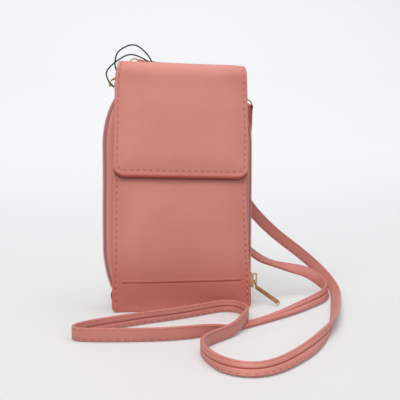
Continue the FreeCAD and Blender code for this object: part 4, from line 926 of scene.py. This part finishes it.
LOOP_ROUTE = [
    (-0.0486, -0.0029, 0.1666), (-0.0491, -0.0031, 0.1678), (-0.0507, -0.003, 0.1692),
    (-0.052, -0.0024, 0.1707), (-0.0535, -0.001, 0.1741), (-0.0539, 0.0003, 0.1774),
    (-0.0522, 0.001, 0.1807), (-0.0482, 0.0015, 0.1844), (-0.0455, 0.0015, 0.1864),
    (-0.0422, 0.0015, 0.1887), (-0.0382, 0.0015, 0.1907), (-0.0346, 0.0015, 0.1911),
    (-0.0306, 0.0013, 0.1901), (-0.0263, 0.0012, 0.1882), (-0.0223, 0.001, 0.1858),
    (-0.0196, 0.0007, 0.1836), (-0.0166, 0.0005, 0.1809), (-0.014, 0.0002, 0.1784),
    (-0.0122, -0.0002, 0.1756), (-0.0132, -0.0006, 0.1736), (-0.0152, -0.0009, 0.1748),
    (-0.0164, -0.001, 0.178), (-0.0182, -0.0011, 0.1822), (-0.0203, -0.0011, 0.1861),
    (-0.0224, -0.0013, 0.19), (-0.0264, -0.0015, 0.1942), (-0.0303, -0.0015, 0.1971),
    (-0.0339, -0.0015, 0.198), (-0.0376, -0.0015, 0.1974), (-0.0422, -0.0015, 0.195),
    (-0.0452, -0.0015, 0.1924), (-0.0465, -0.0014, 0.1898), (-0.0472, -0.0012, 0.1865),
    (-0.0474, -0.0006, 0.183), (-0.0466, 0.0004, 0.1801), (-0.0457, 0.0022, 0.1781),
    (-0.0465, 0.0042, 0.1766),
]


STITCH_SHARE, STITCH_DEPTH_SHARE, STRAP_RISE = 0.7, 0.85, -0.25
STRAP_TONE, STRAP_TONE_SHARE, STRAP_GRAIN = 0.06, 0.94, 1700.0
STRAP_STEPS, LOOP_STEPS = 6, 8

# Half of the strap's section, as shares of its half width and half thickness, and its painted shade there:
# along its edges, in its stitch grooves and in the seam.
# The outer face is plain; inside, the turned edges meet in a seam.
OUTER_SHARES = [(-1.0, 0.0, 0.2), (-0.97, 0.62, 0.1), (-0.9, 0.92, 0.0), (-0.8, 0.98, 0.0),
                (-0.7, 0.84, 0.3), (-0.6, 0.98, 0.0), (-0.3, 1.0, 0.0)]
INNER_SHARES = [(0.97, -0.62, 0.1), (0.9, -0.9, 0.0), (0.8, -0.98, 0.0), (0.7, -0.86, 0.3),
                (0.6, -1.0, 0.0), (0.38, -1.06, 0.0), (0.2, -1.0, 0.0), (0.08, -0.85, 0.15),
                (0.025, -0.5, 0.7)]


def mirrored(shares):
    """Half a section and its mirror image."""
    return shares + [(-a, b, dark) for a, b, dark in reversed(shares)]


def smooth_curve(name, points, resolution):
    """One open NURBS spline with the route's points as its control points."""
    data = bpy.data.curves.new(name, "CURVE")
    data.dimensions = "3D"
    data.resolution_u = resolution
    spline = data.splines.new("NURBS")
    spline.points.add(len(points) - 1)
    for point, place in zip(spline.points, points):
        point.co = (*place, 1)
    spline.order_u = 3
    spline.use_endpoint_u = True
    return add_object(name, data)


def curve_points(points, resolution):
    """Points read along the route's spline."""
    obj = smooth_curve("route_guide", points, resolution)
    bpy.context.view_layer.update()
    mesh = bpy.data.meshes.new_from_object(obj)
    found = [v.co.copy() for v in mesh.vertices]
    bpy.data.meshes.remove(mesh)
    bpy.data.objects.remove(obj)
    return found


def route_length(points):
    return sum((b - a).length for a, b in zip(points, points[1:]))


def strap_frames(half_wide):
    """Centre, width direction and face direction along the strap."""
    centre = curve_points([p for p, _ in STRAP_ROUTE], STRAP_STEPS)
    sides = [Vector(p) + Vector(w).normalized() * half_wide for p, w in STRAP_ROUTE]
    frames = []
    for i, (point, side) in enumerate(zip(centre, curve_points(sides, STRAP_STEPS))):
        way = (centre[min(i + 1, len(centre) - 1)] - centre[max(i - 1, 0)]).normalized()
        wide = side - point
        wide = (wide - way * wide.dot(way)).normalized()
        frames.append((point, wide, way.cross(wide)))
    return frames


class POUCH_OT_strap(bpy.types.Operator):
    """Strap: a long flat band with stitched edges and a seam along its inside"""
    bl_idname = "pouch.strap"
    bl_label = "Strap"

    def execute(self, context):
        s = sizes()
        half_wide, half_thick = s.strap_width / 2, s.strap_thickness / 2
        section_shares = mirrored(OUTER_SHARES) + mirrored(INNER_SHARES)
        frames = strap_frames(half_wide)
        rings = [[p + w * (a * half_wide) + d * (b * half_thick) for a, b, _ in section_shares]
                 for p, w, d in frames]
        shade = [[STRAP_TONE + (1 - STRAP_TONE) * dark for _, _, dark in section_shares]] * len(frames)
        strap = loft("strap_leather", rings, leather("strap_leather", STRAP_TONE_SHARE, STRAP_GRAIN), shade)
        settle(strap, "strap")

        def lines_at(height):
            out = STITCH_DEPTH_SHARE * half_thick + height * MM
            return [[p + w * (edge_share * half_wide) + d * (face * out) for p, w, d in frames]
                    for edge_share in (-STITCH_SHARE, STITCH_SHARE) for face in (-1, 1)]

        for piece in stitches("strap_stitches", lines_at, s.strap_pitch, STRAP_RISE):
            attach(piece, "pouch")
        return {"FINISHED"}


class POUCH_OT_hang_loop(bpy.types.Operator):
    """Hang loop: thin black elastic in two bows"""
    bl_idname = "pouch.hang_loop"
    bl_label = "Hang loop"

    def execute(self, context):
        diameter = sizes().cord_diameter
        loop = smooth_curve("hang_loop_elastic", LOOP_ROUTE, LOOP_STEPS)
        loop.data.bevel_depth = diameter / 2
        loop.data.bevel_resolution = 4
        loop.data.use_fill_caps = True
        loop.data.materials.append(finish("loop_elastic"))
        settle(loop, "hang_loop")
        total = route_length(curve_points(LOOP_ROUTE, LOOP_STEPS))
        return {"FINISHED"}


# Strap ends and ring tabs: strips turned round a wire, in millimetres

# Where each side's ring bar and strap end are, with the strap end's direction and that of its width
HELD = {
    "left": {"bar": (-45.6, -1.4, 168.0), "end": (-6.02226, 13.49085, 180.66205),
             "end_way": (0.957, 0.24625, -0.15335), "wide": (0.11723, 0.15523, 0.9809)},
    "right": {"bar": (45.6, -1.4, 168.0), "end": (56.43116, 18.8452, 129.66461),
              "end_way": (-0.0301, 0.17417, -0.98426), "wide": (0.25, -0.953, -0.176)},
}
END_REACH, END_SEAM, END_HALF, WIRE_PLAY = 24.0, 2.9, 1.15, 0.15
END_STITCHES = (9.0, 14.0, 19.0, 23.0)
LEG_STEPS, TURN_STEPS = 8, 12

# One face of a strip's section, as shares of its half width and half thickness, and its painted shade there,
# along its edges
STRIP_SHARES = [(-1, -0.5, 0.4), (-0.97, -0.85, 0.2), (-0.9, -1, 0), (-0.5, -1, 0), (0, -1, 0),
                (0.5, -1, 0), (0.9, -1, 0), (0.97, -0.85, 0.2), (1, -0.5, 0.4)]


def turned_strip(name, held, away, wide, across, layer, wire, length, neck, width_near, width_far,
                 lean=0.0, thin_share=0.0):
    """A strip folded round a wire at held; both layers run off along away and close together.
    The layers are thinner near the wire by thin_share."""
    away, wide, across = (Vector(v).normalized() for v in (away, wide, across))
    section_shares = STRIP_SHARES + [(-a, -b, dark) for a, b, dark in STRIP_SHARES]

    def half_layer(along):
        return layer * (1 - thin_share * fade(along, 1.0, 9.0)) / 2

    radius = wire + WIRE_PLAY + half_layer(0)

    def leg(i, side):
        along = length * i / LEG_STEPS
        closed = min(1.0, along / neck)
        return along, lean * closed + side * (radius + (half_layer(along) - radius) * closed)

    turn = [math.pi * i / TURN_STEPS for i in range(1, TURN_STEPS)]
    path = [leg(i, 1) for i in range(LEG_STEPS, -1, -1)]
    path += [(-radius * math.sin(angle), radius * math.cos(angle)) for angle in turn]
    path += [leg(i, -1) for i in range(LEG_STEPS + 1)]
    rings = []
    for i, (along, side) in enumerate(path):
        before, after = path[max(i - 1, 0)], path[min(i + 1, len(path) - 1)]
        step = Vector((after[0] - before[0], after[1] - before[1])).normalized()
        half = (width_near + (width_far - width_near) * smooth_step(along, 0.0, length * 0.6)) / 2
        ring = []
        for a, b, _ in section_shares:
            out = b * half_layer(along)
            u, v = along - step.y * out, side + step.x * out
            ring.append(held + (away * u + across * v + wide * (a * half)) * MM)
        rings.append(ring)
    shade = [[dark for _, _, dark in section_shares]] * len(rings)
    return loft(name, rings, leather(), shade)


class POUCH_OT_turned_ends(bpy.types.Operator):
    """Strap ends round the clasps' eyes and the tabs that hold the rings"""
    bl_idname = "pouch.turned_ends"
    bl_label = "Strap ends and tabs"

    def execute(self, context):
        rows = []
        for side, held in HELD.items():
            way, wide = Vector(held["end_way"]), Vector(held["wide"])
            centre = (Vector(held["end"]) - way * END_REACH) * MM
            across = wide.cross(way)
            end = turned_strip(f"strap_end_{side}_leather", centre, way, wide, across, layer=1.2, wire=0.6,
                               length=24.4, neck=5.0, width_near=7.0, width_far=8.4, thin_share=0.35)
            settle(end, f"strap_end_{side}")
            tab = turned_strip(f"tab_{side}_leather", Vector(held["bar"]) * MM, (0, 0, -1), (1, 0, 0),
                               (0, 1, 0), layer=1.15, wire=0.9, length=6.6, neck=3.3, width_near=4.6,
                               width_far=4.6, lean=-1.2)
            settle(tab, f"tab_{side}")
            rows.extend((centre, way, across * face, wide * edge)
                        for face in (-1, 1) for edge in (-END_SEAM, END_SEAM))

        def lines_at(height):
            return [[centre + (way * u + out * (END_HALF + height) + aside) * MM for u in END_STITCHES]
                    for centre, way, out, aside in rows]

        for piece in stitches("strap_end_stitches", lines_at):
            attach(piece, "pouch")
        return {"FINISHED"}


# Metal and hidden pieces keep their solids and take their finishes

GILT_NODES = ["zip_slider", "pull_link", "pull_tab"] + [
    f"{piece}_{side}" for side in HELD
    for piece in ("ring", "clasp", "clasp_pin", "clasp_gate", "clasp_eye", "strap_rivet")]
LINED_NODES = ["pocket_back_lining", "pocket_front_lining", "flap_lining", "card_slots"]


class POUCH_OT_finishes(bpy.types.Operator):
    """Finishes of the fittings, the pocket's and flap's linings and the hidden pieces"""
    bl_idname = "pouch.finishes"
    bl_label = "Finishes"

    def execute(self, context):
        for material, nodes in ((finish("gilt_plate"), GILT_NODES), (cloth("lining_weave"), LINED_NODES),
                                (finish("steel_plate"), ["steel_disc", "flap_magnet"]),
                                (finish("grey_board"), ["flap_board"])):
            for name in nodes:
                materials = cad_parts[name].data.materials
                materials.clear()
                materials.append(material)
        return {"FINISHED"}


# Stage, in metres

# Floor and backdrop from front to back: y and z
BACKDROP = [(-3.0, 0.0), (-1.0, 0.0), (0.6, 0.0), (0.9, 0.02), (1.15, 0.09), (1.35, 0.22), (1.5, 0.42),
            (1.58, 0.7), (1.6, 1.2), (1.6, 3.0)]
BACKDROP_HALF = 4.0
PAPER_GLOW, SKY, SKY_STRENGTH = (0.94, 0.97, 1.0, 1), (0.93, 0.96, 1.0, 1), 0.38

# Each light's place, aim, size and power
LIGHTS = {
    "key_light": ((-0.35, -0.75, 0.95), (0, 0, 0.14), 0.8, 8.5),
    "top_light": ((0.2, 0.1, 1.6), (0, 0, 0.05), 1.4, 11.0),
    "fill_light": ((1.2, -0.9, 0.9), (0, 0, 0.1), 1.2, 2.5),
}
CAMERA_PLACE, CAMERA_DOWN, CAMERA_TURN = (-0.0561, -0.5961, 0.1459), 6.12, -6.92
SENSOR_MM, LENS_MM = 36.0, 71.0


def studio_paper():
    """Pale paper, brighter far behind; the camera and shiny metal see it lighter than it lights."""
    material, shader = bare_material("studio_floor")
    tree = material.node_tree
    axes = add_node(tree, "ShaderNodeSeparateXYZ", {"Vector": object_place(tree)})
    far = map_range(tree, axes.outputs["Y"], 0.09, 0.47, -0.25, 1.1)
    rays = add_node(tree, "ShaderNodeLightPath").outputs
    seen = calculate(tree, "ADD", rays["Is Camera Ray"], rays["Is Glossy Ray"])
    seen = calculate(tree, "ADD", seen, rays["Is Transmission Ray"])
    connect(tree, shader, {
        "Base Color": (*colours().floor, 1), "Roughness": 0.6, "Emission Color": PAPER_GLOW,
        "Emission Strength": calculate(tree, "MULTIPLY", far, seen)})
    return material


class POUCH_OT_stage(bpy.types.Operator):
    """Pale floor and backdrop, soft light and the camera"""
    bl_idname = "pouch.stage"
    bl_label = "Stage"

    def execute(self, context):
        scene = context.scene
        scene.view_settings.view_transform = "Standard"
        points = [(x, y, z) for y, z in BACKDROP for x in (-BACKDROP_HALF, BACKDROP_HALF)]
        faces = [(i, i + 1, i + 3, i + 2) for i in range(0, len(points) - 2, 2)]
        make_object("studio_floor", points, faces, studio_paper())
        scene.world = bpy.data.worlds.new("studio")
        scene.world.use_nodes = True
        tree = scene.world.node_tree
        background = next(n for n in tree.nodes if n.type == "BACKGROUND")
        connect(tree, background, {"Color": SKY, "Strength": SKY_STRENGTH})
        for name, (place, aim, size, power) in LIGHTS.items():
            light = bpy.data.lights.new(name, "AREA")
            light.size = size
            light.energy = power
            lamp = add_object(name, light)
            lamp.location = place
            lamp.rotation_euler = (Vector(aim) - Vector(place)).to_track_quat("-Z", "Y").to_euler()
        lens = bpy.data.cameras.new("photo_camera")
        lens.sensor_width = SENSOR_MM
        lens.lens = LENS_MM
        camera = add_object("photo_camera", lens)
        camera.location = CAMERA_PLACE
        camera.rotation_euler = Euler((math.radians(90 - CAMERA_DOWN), 0, math.radians(CAMERA_TURN)), "XYZ")
        scene.camera = camera
        return {"FINISHED"}


STEPS = ("stage", "strap", "hang_loop", "flap", "pocket", "wallet", "zip", "turned_ends", "finishes")


class POUCH_PT_panel(bpy.types.Panel):
    bl_label = "Phone pouch"
    bl_idname = "POUCH_PT_panel"
    bl_space_type = "VIEW_3D"
    bl_region_type = "UI"
    bl_category = "Pouch"

    def draw(self, context):
        for step in STEPS:
            self.layout.operator(f"pouch.{step}")
        for group in (context.scene.pouch_sizes, context.scene.pouch_colours):
            for name in group.__annotations__:
                self.layout.prop(group, name)


CLASSES = (PouchSizes, PouchColours, POUCH_OT_stage, POUCH_OT_strap, POUCH_OT_hang_loop, POUCH_OT_flap,
           POUCH_OT_pocket, POUCH_OT_wallet, POUCH_OT_zip, POUCH_OT_turned_ends, POUCH_OT_finishes,
           POUCH_PT_panel)


def register():
    for cls in CLASSES:
        bpy.utils.register_class(cls)
    bpy.types.Scene.pouch_sizes = PointerProperty(type=PouchSizes)
    bpy.types.Scene.pouch_colours = PointerProperty(type=PouchColours)


def unregister():
    del bpy.types.Scene.pouch_colours
    del bpy.types.Scene.pouch_sizes
    for cls in reversed(CLASSES):
        bpy.utils.unregister_class(cls)


def main():
    register()
    for step in STEPS:
        getattr(bpy.ops.pouch, step)()
    bpy.context.view_layer.update()


if __name__ == "__main__":
    main()
